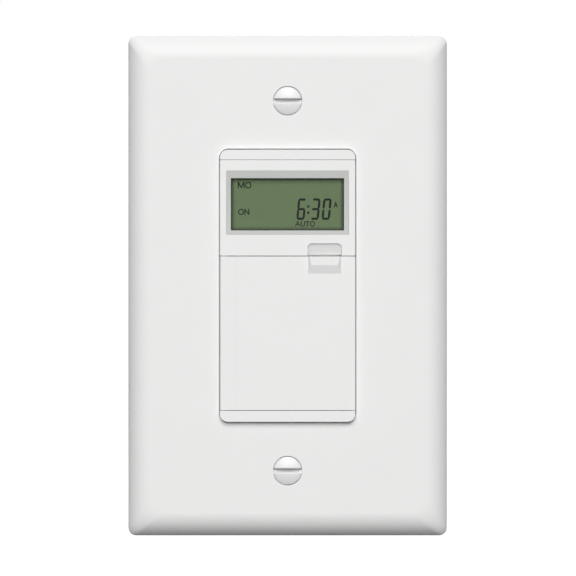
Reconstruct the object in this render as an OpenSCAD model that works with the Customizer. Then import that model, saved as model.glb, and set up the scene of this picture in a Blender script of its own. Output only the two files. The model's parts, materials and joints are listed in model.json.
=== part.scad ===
// Timer light switch: a wall timer with a display, a door over its setting keys,
// a steel strap that screws to a wall box, and an oversize wall plate.
// Every piece is drawn in the face frame: x to the right, y up, z out of the wall.
// on_wall() turns that frame so that +Z is up and the face looks along -Y.

/* [Wall plate] */
// Width of the wall plate
plate_w = 83.5; // [78:0.5:92]
// Height of the wall plate
plate_h = 131; // [126:0.5:140]
// Height of the plate's front above the wall
plate_depth = 6.4; // [6.2:0.1:7.5]
// Thickness of the plate's wall
plate_wall = 2.2; // [1.8:0.1:2.4]
// Corner radius of the plate's outline
plate_corner_r = 2; // [1:0.25:4]
// Corner radius of the plate's flat front, inside the rolled edge
plate_front_r = 4; // [2:0.5:8]
// Width of the rolled edge
plate_roll = 6; // [4:0.25:6.5]
// How far the rolled edge falls from the plate's front to its side
plate_roll_drop = 3.6; // [3:0.1:4.2]
// Width of the opening for the face
opening_w = 35.8; // [35.2:0.1:36.6]
// Height of the opening for the face
opening_h = 71.6; // [70.5:0.1:72.5]
// Corner radius of the opening
opening_r = 2.3; // [1.5:0.1:3]

/* [Plate screws] */
// Spacing of the two plate screws
plate_screw_spacing = 96.84; // [95.8:0.02:98]
// Head diameter of a plate screw
plate_head_d = 7.6; // [7:0.1:8]
// Height of the domed head
plate_dome = 0.9; // [0.6:0.1:1.2]
// Length of a plate screw behind the wall plate's front
plate_screw_len = 14; // [12:0.5:20]

/* [Strap] */
// Length of the strap
strap_len = 106; // [104:0.5:110]
// Width of the strap's ends
strap_end_w = 24; // [22:0.5:28]
// Thickness of the strap's steel
strap_t = 1.2; // [1:0.1:1.4]
// Spacing of the two box screws
box_screw_spacing = 83.34; // [82.9:0.02:83.8]
// Length of a box screw behind the wall plane
box_screw_len = 24; // [19:0.5:30]

/* [Face] */
// How far the face stands proud of the plate
face_proud = 1.4; // [0.8:0.1:1.8]
// Gap between the face and the plate's opening
face_gap = 0.2; // [0.2:0.05:0.4]
// Height of the strip above the display cover
strip_h = 2.6; // [2.4:0.1:3]
// Height of the strip below the door
low_strip_h = 2.9; // [2.6:0.05:3.2]
// Height of the door's upper edge above the face's centre
seam_y = 7.75; // [7.3:0.05:8.2]
// Gap at the door's upper and lower edges
seam_gap = 0.15; // [0.1:0.05:0.3]
// Depth of the key deck behind the face
deck_drop = 3.4; // [3.2:0.1:3.6]

/* [Display] */
// Width of the grey recess at its mouth
mouth_w = 32.1; // [31.6:0.1:32.4]
// Height of the grey recess at its mouth
mouth_h = 16.8; // [16.6:0.1:17.2]
// Height of the recess's centre above the face's centre
mouth_y = 21.7; // [21.5:0.1:21.9]
// Width of the visible display
view_w = 29.5; // [28.5:0.1:29.8]
// Height of the visible display
view_h = 13.5; // [12.8:0.1:13.7]
// Height of the visible display's centre above the face's centre
view_y = 21.2; // [21:0.1:21.4]
// How far the grey frame falls towards the display
bezel_slope = 0.2; // [0.1:0.1:0.6]

/* [Door] */
// Thickness of the door
door_t = 1.8; // [1.6:0.1:1.9]
// Radius of the hinge pins
pin_r = 0.5; // [0.4:0.05:0.55]
// Length of the hinge pins
pin_len = 1.1; // [0.8:0.1:1.2]
// Width of the pull tab at its base
tab_w = 8.7; // [7:0.1:10]
// Height of the pull tab at its base
tab_h = 4.6; // [4:0.1:5.5]
// Distance of the pull tab's centre from the face's centre
tab_x = 9.7; // [8:0.1:11]
// How far the pull tab stands out of the door
tab_out = 0.8; // [0.5:0.1:1]
// Height of the finger pocket in the display cover
pocket_h = 3.2; // [2.6:0.1:3.6]
// Depth of the finger pocket
pocket_d = 2.2; // [1.2:0.1:2.4]

/* [Keys] */
// Distance of the key columns from the middle
key_x = 7.6; // [7.4:0.1:8]
// Height of the upper key row relative to the face's centre
key_top_y = -9.5; // [-9.8:0.1:-9.2]
// Distance from one key row to the next
key_pitch = 7.6; // [7.3:0.1:7.9]
// Width of a small key
key_w = 9.2; // [8:0.1:9.6]
// Height of a small key
key_h = 4.6; // [4:0.1:5]
// Width of the wide key
wide_key_w = 24; // [18:0.5:26]
// Height of the wide key
wide_key_h = 6.4; // [5:0.1:7]
// Height of the wide key's centre relative to the face's centre
wide_key_y = 0; // [-0.6:0.1:0.6]
// How far the keys stand out of the deck
key_out = 0.9; // [0.5:0.1:1]
// Travel of a key
key_travel = 0.5; // [0.3:0.05:0.6]

/* [Rear case] */
// Width of the rear case
case_w = 44; // [43:0.5:47]
// Depth of the rear case behind the wall plane
case_depth = 33; // [31.5:0.5:38]
// Wall thickness of the rear case
case_wall = 1.8; // [1.5:0.1:2.2]
// Depth of the terminal pockets
term_depth = 5; // [4.6:0.1:5.4]
// Diameter of a terminal screw's head
term_head_d = 8; // [7:0.1:8.6]

/* [Hidden] */
$fn = 48;

// Clearances: a still fit, a pin that turns, a screw in its thread, a key in its hole,
// a part in its room
fit = 0.05;
run = 0.04;
tapped = 0.03;
key_gap = 0.2;
room_gap = 0.1;
screw_gap = 0.15;
glass_gap = 0.15;
// Overshoot of a cut, thickness of a hull's end, a hair kept off a full half round, and how
// far a boss runs into what carries it
eps = 0.5;
thin = 0.02;
hair = 0.01;
sink = 0.2;

// Face outline and levels
face_w = opening_w - 2 * face_gap;
face_h = opening_h - 2 * face_gap;
face_r = opening_r - face_gap;
z_inner = plate_depth - plate_wall;
z_face = plate_depth + face_proud;
z_deck = z_face - deck_drop;
deck_t = 1.5;
z_deck_back = z_deck - deck_t;
flange_gap = 0.2;
z_flange = min(z_inner - flange_gap, z_deck);
strip_y = face_h / 2 - strip_h;
low_strip_y = low_strip_h - face_h / 2;
flange_side = 3.45;
flange_end = 1.8;
flange_r = 2;
flange_w = face_w + 2 * flange_side;
flange_h = face_h + 2 * flange_end;

// Tub of the front housing, which passes through the strap
tub_in = 0.45;
tub_w = face_w - 2 * tub_in;
tub_h = 2 * strip_y;
tub_wall = 1.4;
tub_gap = 0.2;
tub_room_r = 0.8;
boss_r = 1.9;
boss_in_x = 2.3;
boss_in_y = 2.1;
boss_skin = 0.6;
boss_x = tub_w / 2 - boss_in_x;
boss_y = tub_h / 2 - boss_in_y;
stop_w = 1.2;
stop_h = 4;
stop_in = 0.4;
STOPS = [-26, -6];

// Control board and what stands on it
board_t = 1.2;
z_board = -2;
z_board_back = z_board - board_t;
board_w = tub_w - 2 * fit;
board_h = tub_h - 2 * fit;
board_r = 0.6;
tact_size = 6;
tact_h = 2.8;
tact_r = 0.4;
z_tact = z_board + tact_h;
plunger_r = 1.7;
flange_t = 0.8;
z_key_back = z_deck_back - flange_t;
plunger_sunk = 1;
key_lip = 0.8;
key_soft = 0.3;
reset_d = 2.2;
reset_lip = 0.6;
reset_sunk = 0.2;

// Display stack, from the window back to the board
bezel_lip = 0.9;
bezel_edge = 0.25;
mouth_r = 0.2;
mouth_sunk = 0.1;
z_mouth = z_face - mouth_sunk;
z_bezel_back = z_mouth - bezel_slope - bezel_lip;
window_t = 0.4;
z_window_back = z_bezel_back - window_t;
glass_t = 1.1;
z_front_glass = z_window_back - glass_t;
z_rear_glass = z_front_glass - glass_t;
reflector_t = 0.3;
z_reflector = z_rear_glass - reflector_t;
glass_edge = 0.7;
glass_foot = 2;
glass_w = view_w + 2 * glass_edge;
glass_low = view_y - view_h / 2 - glass_foot;
glass_high = view_y + view_h / 2 + glass_edge;
ledge = 2.2;
holder_in = 0.2;
holder_wall = 1.2;
contact_in = 1;
cover_front_t = 0.8;
cover_low = seam_y + seam_gap / 2;
cover_high = strip_y - 2 * fit;
cover_r = 0.3;
room_low = glass_low - 2 * glass_gap;
cover_wall = 0.9;
pocket_r = 1.1;
pocket_step = 0.7;
pocket_gap = 0.15;

// Door
door_high = seam_y - seam_gap / 2;
door_low = low_strip_y + seam_gap;
door_edge_r = 0.45;
hinge_x = -face_w / 2 + door_t / 2;
hinge_z = z_face - door_t / 2;
tab_root = 0.6;
tab_side = 0.35;
tab_foot_side = 0.85;
groove_in = 3.2;
groove_w = 0.4;
groove_d = 0.08;
rim = 1.6;
panel_d = 0.5;
bump_r = 0.6;
bump_in = 3;
bump_out = seam_gap / 2;

// Screws and strap
plate_shank_r = 1.7;
plate_rim = 0.2;
plate_cone = 2.2;
plate_slot = 1.1;
plate_slot_d = 0.7;
plate_boss_r = 4.8;
plate_boss_drop = 1;
plate_rib_t = 1.2;
plate_rib_drop = 1.5;
plate_rib_pitch = 30;
rim_sunk = 0.15;
z_rim = plate_depth - rim_sunk;
plate_ring_gap = 0.2;
plate_ring_d = 0.6;
plate_hole_gap = 0.3;
box_neck_r = 1.5;
box_thread_r = 1.75;
box_head_r = 3.4;
box_head_h = 1.7;
box_point = 1.5;
box_soft = 0.5;
box_slot_w = 4.2;
box_slot_l = 6.6;
retainer_t = 0.4;
retainer_w = 11;
retainer_h = 9;
retainer_r = 1;
strap_r = 1.5;
strap_end_r = 3;
ear_r = 5.2;
ear_x = strap_end_w / 2 + ear_r / 2;
ear_hole_r = 1.6;
ear_neck = 5.2;
ear_notch = 0.8;
ground_off = 0.4;
ground_y = -box_screw_spacing / 2 - ground_off;
ground_tab = 9;
ground_drop = 10;
ground_z = -ground_drop / 2 - ground_off;
ground_washer_r = 4;
ground_washer_t = 0.8;
ground_hex_r = 3.6;
ground_head_h = 2.8;
ground_shank = 6.5;
screw_slot = 1;
screw_slot_d = 0.9;

// Rear case, power board and terminals
case_fit = 0.4;
case_h = tub_h + 2 * (case_fit + case_wall);
case_r = 3;
floor_t = 2;
z_floor = -case_depth + floor_t;
case_chamfer = 1;
post_r = 2.8;
post_foot_r = 3.7;
post_foot_h = 3;
peg_r = 1.6;
peg_x = 11;
peg_y = 24;
post_gap = 0.4;
field_w = 24;
field_h = 34;
field_r = 1.5;
field_y = 4;
field_d = 0.4;
gauge_w = 2.4;
gauge_l = 14;
gauge_y = -22;
gauge_d = 0.8;
case_screw_r = 1.25;
case_head_r = 2.5;
case_head_h = 1.6;
head_sunk = 0.6;
cross_l = 3;
cross_w = 0.7;
cross_d = 0.9;
standoff = 1.8;
power_t = 1.6;
power_gap = 0.6;
power_r = 1;
z_power_back = z_floor + standoff;
z_power = z_power_back + power_t;
power_w = case_w - 2 * (case_wall + power_gap);
power_h = case_h - 2 * (case_wall + power_gap);
term_t = 1;
wire_room = 2;
term_x = case_w / 2 - term_depth;
term_z = -13;
term_pad = 9;
term_leg = 4;
leg_gap = 0.1;
leg_out = 0.4;
term_shank_r = 2.05;
pocket_w = 11;
pocket_l = 12;
pocket_wall = 1.5;
term_slot = 1.1;
term_tip = 3;
TERMINALS = [[1, 13], [1, -9], [-1, 13]];

// Parts on the two boards: each has its place on the board and its size
chip_at = [-7, -10];
chip_size = 8;
chip_h = 1.4;
chip_r = 0.3;
crystal_at = [6, -13];
crystal_r = 1;
crystal_len = 6.2;
cell_at = [0, 4];
cell_r = 8;
cell_h = 2.2;
strip_t = 0.3;
strip_w = 4;
link_at = [0, -27.5];
link_pitch = 2.54;
link_w = 12.8;
link_d = 2.6;
link_h = 2.5;
link_pin_r = 0.32;
part_r = 0.8;
relay_at = [0, -15.5];
relay_w = 19.5;
relay_d = 15.5;
relay_h = 15.5;
film_at = [0, 1.5];
film_w = 18;
film_d = 8.5;
film_h = 14.5;
main_cap_at = [-7.5, 13.5];
main_cap_r = 4;
main_cap_h = 12;
low_cap_at = [1, 13.5];
low_cap_r = 3.2;
low_cap_h = 11;
varistor_at = [9.6, 11.5];
varistor_r = 4.5;
varistor_t = 4;
fuse_at = [-8, 23];
fuse_r = 1.6;
fuse_len = 9;

// Keys: name, x, y, width and height
KEYS = [
    ["manual", 0, wide_key_y, wide_key_w, wide_key_h],
    ["program", -key_x, key_top_y, key_w, key_h],
    ["clock", key_x, key_top_y, key_w, key_h],
    ["day", -key_x, key_top_y - key_pitch, key_w, key_h],
    ["mode", key_x, key_top_y - key_pitch, key_w, key_h],
    ["hour", -key_x, key_top_y - 2 * key_pitch, key_w, key_h],
    ["minute", key_x, key_top_y - 2 * key_pitch, key_w, key_h],
    ["reset", 0, key_top_y - key_pitch, reset_d, reset_d]
];

// Shared forms
module on_wall() {
    rotate([90, 0, 0]) children();
}

module rounded_rect(w, h, r) {
    square([w - 2 * r, h], center = true);
    square([w, h - 2 * r], center = true);
    for (x = [-1, 1], y = [-1, 1])
        translate([x * (w / 2 - r), y * (h / 2 - r)]) circle(r);
}

module slab(w, h, r, low, high) {
    translate([0, 0, low]) linear_extrude(high - low) rounded_rect(w, h, r);
}

module block(x0, x1, y0, y1, z0, z1) {
    translate([x0, y0, z0]) cube([x1 - x0, y1 - y0, z1 - z0]);
}

module rod(x, y, r, low, high) {
    translate([x, y, low]) cylinder(r = r, h = high - low);
}

module at_screws(spacing) {
    for (s = [-1, 1]) translate([0, s * spacing / 2, 0]) children();
}

module at_bosses() {
    for (x = [-1, 1], y = [-1, 1]) translate([x * boss_x, y * boss_y, 0]) children();
}

// The plate's outside, or its hollow when inset by the wall. The rolled edge is a parabola.
module plate_form(inset, low, rings) {
    top = plate_depth - inset;
    hull() {
        slab(plate_w - 2 * inset, plate_h - 2 * inset, plate_corner_r, low, top - plate_roll_drop);
        for (k = [1:rings]) {
            share = k / rings;
            in = inset + plate_roll * share;
            r = plate_corner_r + (plate_front_r - plate_corner_r) * share;
            z = top - plate_roll_drop * pow(1 - share, 2);
            slab(plate_w - 2 * in, plate_h - 2 * in, r, z - thin, z, $fn = 32);
        }
    }
}

// Wall plate: a moulded shell with a rolled edge, side ribs and two screw bosses
module wall_plate() {
    cone_r = plate_head_d / 2;
    rib_in = flange_w / 2 + 2;
    rib_out = plate_w / 2 - plate_wall - plate_roll / 3;
    color("white") difference() {
        union() {
            difference() {
                plate_form(0, 0, 8);
                plate_form(plate_wall, -eps, 4);
            }
            at_screws(plate_screw_spacing)
                rod(0, 0, plate_boss_r, z_inner - plate_boss_drop, z_inner + eps);
            for (s = [-1, 1], k = [-1:1]) {
                y = k * plate_rib_pitch;
                block(min(s * rib_in, s * rib_out), max(s * rib_in, s * rib_out), y - plate_rib_t / 2,
                      y + plate_rib_t / 2, z_inner - plate_rib_drop, z_inner + eps);
            }
        }
        slab(opening_w, opening_h, opening_r, -eps, plate_depth + eps);
        at_screws(plate_screw_spacing) {
            rod(0, 0, cone_r + plate_ring_gap, z_rim - plate_rim - plate_ring_d, plate_depth + eps);
            rod(0, 0, plate_shank_r + plate_hole_gap, -eps, plate_depth);
            translate([0, 0, z_rim - plate_rim - plate_cone])
                cylinder(r1 = plate_shank_r, r2 = cone_r, h = plate_cone);
        }
    }
}

// Plate screws: oval heads with a straight slot
module plate_screws() {
    r = plate_head_d / 2;
    sphere_r = (r * r + plate_dome * plate_dome) / (2 * plate_dome);
    z_cone = z_rim - plate_rim - plate_cone;
    color("white") at_screws(plate_screw_spacing) difference() {
        union() {
            rod(0, 0, r, z_rim - plate_rim, z_rim);
            intersection() {
                translate([0, 0, z_rim + plate_dome - sphere_r]) sphere(sphere_r);
                rod(0, 0, r, z_rim, z_rim + 2 * plate_dome);
            }
            translate([0, 0, z_cone]) cylinder(r1 = plate_shank_r, r2 = r, h = plate_cone);
            rod(0, 0, plate_shank_r, plate_depth - plate_screw_len, z_cone);
        }
        block(-r - eps, r + eps, -plate_slot / 2, plate_slot / 2,
              z_rim - plate_slot_d, z_rim + 2 * plate_dome);
    }
}

// Strap: one steel stamping with a window for the tub, break-off ears and a ground tab
module mounting_strap() {
    through = strap_t + eps;
    color("silver") difference() {
        union() {
            slab(flange_w, flange_h, strap_r, 0, strap_t);
            slab(strap_end_w, strap_len, strap_end_r, 0, strap_t);
            at_screws(plate_screw_spacing) for (x = [-1, 1]) rod(x * ear_x, 0, ear_r, 0, strap_t);
            block(strap_end_w / 2 - strap_t, strap_end_w / 2, ground_y - ground_tab / 2,
                  ground_y + ground_tab / 2, -ground_drop, strap_t);
        }
        slab(tub_w + 2 * tub_gap, tub_h + 2 * tub_gap, strap_r, -eps, through);
        at_screws(plate_screw_spacing) {
            rod(0, 0, plate_shank_r + tapped, -eps, through);
            for (x = [-1, 1]) {
                rod(x * (ear_x + ear_hole_r), 0, ear_hole_r, -eps, through);
                for (y = [-1, 1])
                    translate([x * (strap_end_w / 2 + ear_notch / 4), y * (ear_neck + ear_r) / 2, 0])
                        block(-ear_notch / 2, ear_notch / 2, -ear_r / 2, ear_r / 2, -eps, through);
            }
        }
        at_screws(box_screw_spacing) {
            flat = box_slot_l - box_slot_w;
            block(-flat / 2, flat / 2, -box_slot_w / 2, box_slot_w / 2, -eps, through);
            for (x = [-1, 1]) rod(x * flat / 2, 0, box_slot_w / 2, -eps, through);
        }
        translate([strap_end_w / 2 - strap_t - eps, ground_y, ground_z])
            rotate([0, 90, 0]) cylinder(r = term_shank_r + tapped, h = strap_t + 2 * eps);
    }
}

// Box screws: slotted heads, a plain neck through the strap and a threaded shank
module box_screws() {
    z_head = strap_t + box_head_h;
    z_soft = z_head - box_soft;
    z_neck = -retainer_t - thin;
    color("silver") at_screws(box_screw_spacing) difference() {
        union() {
            rod(0, 0, box_head_r, strap_t, z_soft);
            translate([0, 0, z_soft])
                cylinder(r1 = box_head_r, r2 = box_head_r - box_soft, h = box_soft);
            rod(0, 0, box_neck_r, z_neck, strap_t);
            rod(0, 0, box_thread_r, box_point - box_screw_len, z_neck);
            translate([0, 0, -box_screw_len])
                cylinder(r1 = box_thread_r - box_soft, r2 = box_thread_r, h = box_point);
        }
        block(-box_head_r - eps, box_head_r + eps, -screw_slot / 2, screw_slot / 2,
              z_head - screw_slot_d, z_head + eps);
    }
}

// Retainers: fibre squares that keep the box screws in the strap
module screw_retainers() {
    color("khaki") at_screws(box_screw_spacing) difference() {
        slab(retainer_w, retainer_h, retainer_r, -retainer_t, 0);
        rod(0, 0, box_neck_r + thin, -2 * retainer_t, eps);
    }
}

// Ground screw: a green hexagonal washer head in the strap's tab
module ground_screw() {
    color("green") translate([strap_end_w / 2, ground_y, ground_z]) rotate([0, 90, 0]) difference() {
        union() {
            cylinder(r = ground_washer_r, h = ground_washer_t);
            cylinder(r = ground_hex_r, h = ground_head_h, $fn = 6);
            translate([0, 0, -ground_shank]) cylinder(r = term_shank_r, h = ground_shank);
        }
        block(-ground_hex_r, ground_hex_r, -screw_slot / 2, screw_slot / 2,
              ground_head_h - screw_slot_d, ground_head_h + eps);
    }
}

// Front housing: flange, tower with two strips, key deck, tub and door stops, moulded in one
module front_housing() {
    z_stop = z_face - door_t - fit;
    stop_x = face_w / 2 - stop_in;
    color("white") difference() {
        union() {
            difference() {
                union() {
                    slab(flange_w, flange_h, flange_r, strap_t, z_flange);
                    slab(face_w, face_h, face_r, strap_t, z_face);
                    slab(tub_w, tub_h, tub_wall, z_board, strap_t + eps);
                }
                block(-face_w, face_w, low_strip_y, strip_y, z_deck, z_face + eps);
                slab(tub_w - 2 * tub_wall, tub_h - 2 * tub_wall, tub_room_r, z_board - eps, z_deck_back);
            }
            at_bosses() rod(0, 0, boss_r, z_board, z_deck_back + sink);
            for (y = STOPS)
                block(stop_x - stop_w, stop_x, y - stop_h / 2, y + stop_h / 2, z_deck_back, z_stop);
        }
        block(-glass_w / 2 - glass_gap, glass_w / 2 + glass_gap, glass_low - glass_gap,
              glass_high + glass_gap, z_board - eps, z_face);
        for (k = KEYS) translate([k[1], k[2], 0])
            slab(k[3] + 2 * key_gap, k[4] + 2 * key_gap, k[4] / 2 + key_gap - hair,
                 z_deck_back - eps, z_deck + eps);
        at_bosses() rod(0, 0, case_screw_r + tapped, z_board - eps, z_deck - boss_skin);
        pin_hole(low_strip_y, -1);
    }
}

// Bore for a hinge pin, from the edge y in the direction s
module pin_hole(y, s) {
    translate([hinge_x, y, hinge_z]) rotate([-90 * s, 0, 0])
        translate([0, 0, -eps]) cylinder(r = pin_r + run, h = pin_len + 2 * fit + eps);
}

// Display cover: the upper half of the face, with the window mouth and the finger pocket
module display_cover() {
    mid = (cover_low + cover_high) / 2;
    tall = cover_high - cover_low;
    room_high = cover_high - cover_wall;
    color("white") difference() {
        translate([0, mid, 0]) slab(face_w, tall, cover_r, z_deck, z_face);
        block(-face_w / 2 + cover_wall, face_w / 2 - cover_wall, room_low, room_high,
              z_deck - eps, z_face - cover_front_t);
        translate([0, mouth_y, 0]) slab(mouth_w, mouth_h, mouth_r, z_deck, z_face + eps);
        finger_pocket();
        pin_hole(cover_low, 1);
    }
}

// Finger pocket: rounded at the top, with a floor that falls away towards the door
module finger_pocket() {
    wide = tab_w + pocket_gap;
    translate([tab_x, cover_low, z_face]) intersection() {
        slab(wide, 2 * pocket_h, pocket_r, -pocket_d - eps, eps);
        rotate([90, 0, 90]) translate([0, 0, -wide]) linear_extrude(2 * wide)
            polygon([[-pocket_h, 2 * eps], [-pocket_h, -pocket_d], [0, -pocket_d],
                     [pocket_h, -pocket_step], [pocket_h, 2 * eps]]);
    }
}

// Bezel: the grey frame, almost flat, that falls from the cover's mouth to the display
module display_bezel() {
    back_w = face_w - 2 * (cover_wall + room_gap);
    back_high = cover_high - cover_wall - room_gap;
    back_low = room_low + room_gap;
    color("gray") difference() {
        union() {
            translate([0, mouth_y, 0])
                slab(mouth_w - 2 * fit, mouth_h - 2 * fit, mouth_r - fit, z_bezel_back, z_mouth);
            block(-back_w / 2, back_w / 2, back_low, back_high,
                  z_bezel_back, z_face - cover_front_t);
        }
        hull() {
            translate([0, mouth_y, z_mouth])
                cube([mouth_w - 2 * bezel_edge, mouth_h - 2 * bezel_edge, thin], center = true);
            translate([0, view_y, z_mouth - bezel_slope]) cube([view_w, view_h, thin], center = true);
        }
        translate([0, view_y, z_mouth - bezel_slope]) cube([view_w, view_h, 4 * bezel_lip], center = true);
    }
}

// Window: the clear plate behind the bezel
module display_window() {
    back_w = face_w - 2 * (cover_wall + 2 * room_gap);
    back_high = cover_high - cover_wall - 2 * room_gap;
    back_low = room_low + 2 * room_gap;
    color("lightblue", 0.3) block(-back_w / 2, back_w / 2, back_low, back_high,
                                  z_window_back, z_bezel_back);
}

// Display: two glasses, the front one longer so that it leaves a contact ledge below
module front_glass() {
    color("olive") block(-glass_w / 2, glass_w / 2, glass_low, glass_high,
                         z_front_glass, z_window_back);
}

module rear_glass() {
    color("olive") block(-glass_w / 2, glass_w / 2, glass_low + ledge, glass_high,
                         z_rear_glass, z_front_glass);
}

module reflector() {
    color("silver") block(-glass_w / 2, glass_w / 2, glass_low + ledge, glass_high,
                          z_reflector, z_rear_glass);
}

// Holder: the frame that carries the display glass on the board
module display_holder() {
    low = glass_low + ledge + room_gap;
    high = glass_high - holder_in;
    right = glass_w / 2 - holder_in;
    color("ivory") difference() {
        block(-right, right, low, high, z_board, z_reflector);
        block(holder_wall - right, right - holder_wall, low + holder_wall, high - holder_wall,
              z_board - eps, z_reflector + eps);
    }
}

// Contact strip: striped conductive rubber between the ledge and the board
module contact_strip() {
    right = glass_w / 2 - contact_in;
    color("dimgray") block(-right, right, glass_low + room_gap, glass_low + ledge - room_gap,
                           z_board, z_front_glass);
}

// Control board with holes for the case screws
module control_board() {
    color("darkgreen") difference() {
        slab(board_w, board_h, board_r, z_board_back, z_board);
        at_bosses() rod(0, 0, case_screw_r + screw_gap, z_board_back - eps, z_board + eps);
    }
}

// Tactile switches: one body under each key
module tact_switches() {
    color("black") for (k = KEYS) translate([k[1], k[2], 0]) difference() {
        slab(tact_size, tact_size, tact_r, z_board, z_tact);
        rod(0, 0, plunger_r + run, z_tact - plunger_sunk - key_travel - key_gap, z_tact + eps);
    }
}

// A key cap with chamfered edges and the flange that keeps it behind the deck
module key_cap(k) {
    sunk = k[0] == "reset";
    z_top = z_deck + (sunk ? -reset_sunk : key_out);
    lip = sunk ? reset_lip : key_lip;
    soft = key_soft;
    color("whitesmoke") translate([k[1], k[2], 0]) {
        hull() {
            slab(k[3], k[4], k[4] / 2 - hair, z_key_back, z_top - soft, $fn = 32);
            slab(k[3] - 2 * soft, k[4] - 2 * soft, k[4] / 2 - soft - hair, z_top - thin, z_top, $fn = 32);
        }
        slab(k[3] + 2 * lip, k[4] + 2 * lip, k[4] / 2 + lip - hair, z_key_back, z_deck_back);
    }
}

// A switch plunger, from inside its switch to the key cap
module plunger(k) {
    color("dimgray") rod(k[1], k[2], plunger_r, z_tact - plunger_sunk, z_key_back);
}

// Controller chip and clock crystal on the board's rear
module controller_chip() {
    color("black") translate(chip_at) slab(chip_size, chip_size, chip_r, z_board_back - chip_h, z_board_back);
}

module clock_crystal() {
    color("silver") translate([crystal_at[0], crystal_at[1], z_board_back - crystal_r])
        rotate([-90, 0, 0]) cylinder(r = crystal_r, h = crystal_len);
}

// Backup cell between two welded strips
module backup_cell() {
    z = z_board_back - strip_t;
    color("silver") rod(cell_at[0], cell_at[1], cell_r, z - cell_h, z);
}

module cell_tabs() {
    half = strip_w / 2;
    z_rear = z_board_back - strip_t - cell_h;
    far = cell_r + 3;
    color("gainsboro") translate(cell_at) {
        block(-half, half, -far, cell_r - half, z_board_back - strip_t, z_board_back);
        block(-half, half, half - cell_r, far, z_rear - strip_t, z_rear);
        block(-half, half, far - strip_t, far, z_rear - strip_t, z_board_back);
    }
}

// Link between the boards: a header and its pins
module link_header() {
    color("black") difference() {
        translate(link_at)
            block(-link_w / 2, link_w / 2, -link_d / 2, link_d / 2, z_power, z_power + link_h);
        for (i = [-2:2])
            rod(link_at[0] + i * link_pitch, link_at[1], link_pin_r + run,
                z_power - eps, z_power + link_h + eps);
    }
}

module link_pins() {
    color("gold") for (i = [-2:2])
        rod(link_at[0] + i * link_pitch, link_at[1], link_pin_r, z_power, z_board_back);
}

// Door: a plate with a rounded hinge edge, two pins, a pull tab and a detent bump
module door() {
    right = face_w / 2;
    tall = door_high - door_low;
    z_back = z_face - door_t;
    color("white") difference() {
        union() {
            block(door_edge_r - right, right, door_low, door_high, z_back, z_face);
            block(-right, right, door_low, door_high, z_back + door_edge_r, z_face - door_edge_r);
            for (z = [z_back + door_edge_r, z_face - door_edge_r])
                translate([door_edge_r - right, door_low, z]) rotate([-90, 0, 0])
                    cylinder(r = door_edge_r, h = tall);
            translate([hinge_x, door_low - pin_len, hinge_z]) rotate([-90, 0, 0])
                cylinder(r = pin_r, h = tall + 2 * pin_len);
            pull_tab();
            translate([right - bump_in, door_low + bump_r - bump_out, hinge_z]) sphere(bump_r);
        }
        block(hinge_x + groove_in, hinge_x + groove_in + groove_w, door_low - eps, door_high + eps,
              z_face - groove_d, z_face + eps);
        block(hinge_x + door_t + rim, right - rim, door_low + rim, door_high - tab_h - rim,
              z_back - eps, z_back + panel_d);
    }
}

// Pull tab: a flat upper half with steep sides, and a lower half that slopes down to the door
module pull_tab() {
    upper = tab_w / 2 - tab_side;
    lower = tab_w / 2 - tab_foot_side;
    translate([tab_x, door_high - tab_h / 2, z_face]) hull() {
        translate([0, 0, -tab_root / 2]) cube([tab_w, tab_h, tab_root], center = true);
        translate([0, 0, tab_out - thin]) linear_extrude(thin)
            polygon([[-upper, tab_h / 2], [upper, tab_h / 2], [lower, 0], [-lower, 0]]);
    }
}

// Power board with notches for the case posts and slots for the terminal legs
module power_board() {
    color("darkgreen") difference() {
        slab(power_w, power_h, power_r, z_power_back, z_power);
        at_bosses() rod(0, 0, post_foot_r + post_gap, z_power_back - eps, z_power + eps);
        for (t = TERMINALS) translate([t[0] * (term_x + term_t / 2), t[1], 0])
            slab(term_t + 2 * leg_gap, term_leg + 2 * leg_gap, leg_gap, z_power_back - eps, z_power + eps);
    }
}

// Power parts on the board
module relay() {
    color("royalblue") translate(relay_at) slab(relay_w, relay_d, part_r, z_power, z_power + relay_h);
}

module film_capacitor() {
    color("goldenrod") translate(film_at) slab(film_w, film_d, part_r, z_power, z_power + film_h);
}

module filter_capacitors() {
    color("navy") {
        rod(main_cap_at[0], main_cap_at[1], main_cap_r, z_power, z_power + main_cap_h);
        rod(low_cap_at[0], low_cap_at[1], low_cap_r, z_power, z_power + low_cap_h);
    }
}

module varistor() {
    color("steelblue") translate([varistor_at[0], varistor_at[1], z_power + varistor_r])
        rotate([-90, 0, 0]) cylinder(r = varistor_r, h = varistor_t);
}

module fuse() {
    color("silver") translate([fuse_at[0], fuse_at[1], z_power + fuse_r])
        rotate([0, 90, 0]) cylinder(r = fuse_r, h = fuse_len);
}

// Rear case: an open box with screw posts, board standoffs and terminal pockets
module rear_case() {
    color("gainsboro") difference() {
        union() {
            difference() {
                case_form();
                slab(case_w - 2 * case_wall, case_h - 2 * case_wall, case_r - case_wall, z_floor, eps);
            }
            at_bosses() {
                rod(0, 0, post_r, z_floor - sink, z_board_back);
                rod(0, 0, post_foot_r, z_floor - sink, z_floor + post_foot_h);
            }
            for (x = [-1, 1], y = [-1, 1])
                rod(x * peg_x, y * peg_y, peg_r, z_floor - sink, z_power_back);
            for (t = TERMINALS) pocket_shell(t);
        }
        for (t = TERMINALS) pocket_room(t);
        at_bosses() {
            rod(0, 0, case_screw_r + screw_gap, -case_depth - eps, eps);
            rod(0, 0, case_head_r + key_gap, -case_depth - eps, -case_depth + head_sunk + case_head_h);
        }
        rear_marks();
    }
}

// Sunk marks on the case's rear: a bare field, and a groove as long as a wire's stripped end
module rear_marks() {
    translate([0, field_y, 0]) slab(field_w, field_h, field_r, -case_depth - eps, field_d - case_depth);
    translate([0, gauge_y, 0])
        slab(gauge_l, gauge_w, gauge_w / 2 - hair, -case_depth - eps, gauge_d - case_depth);
}

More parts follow.
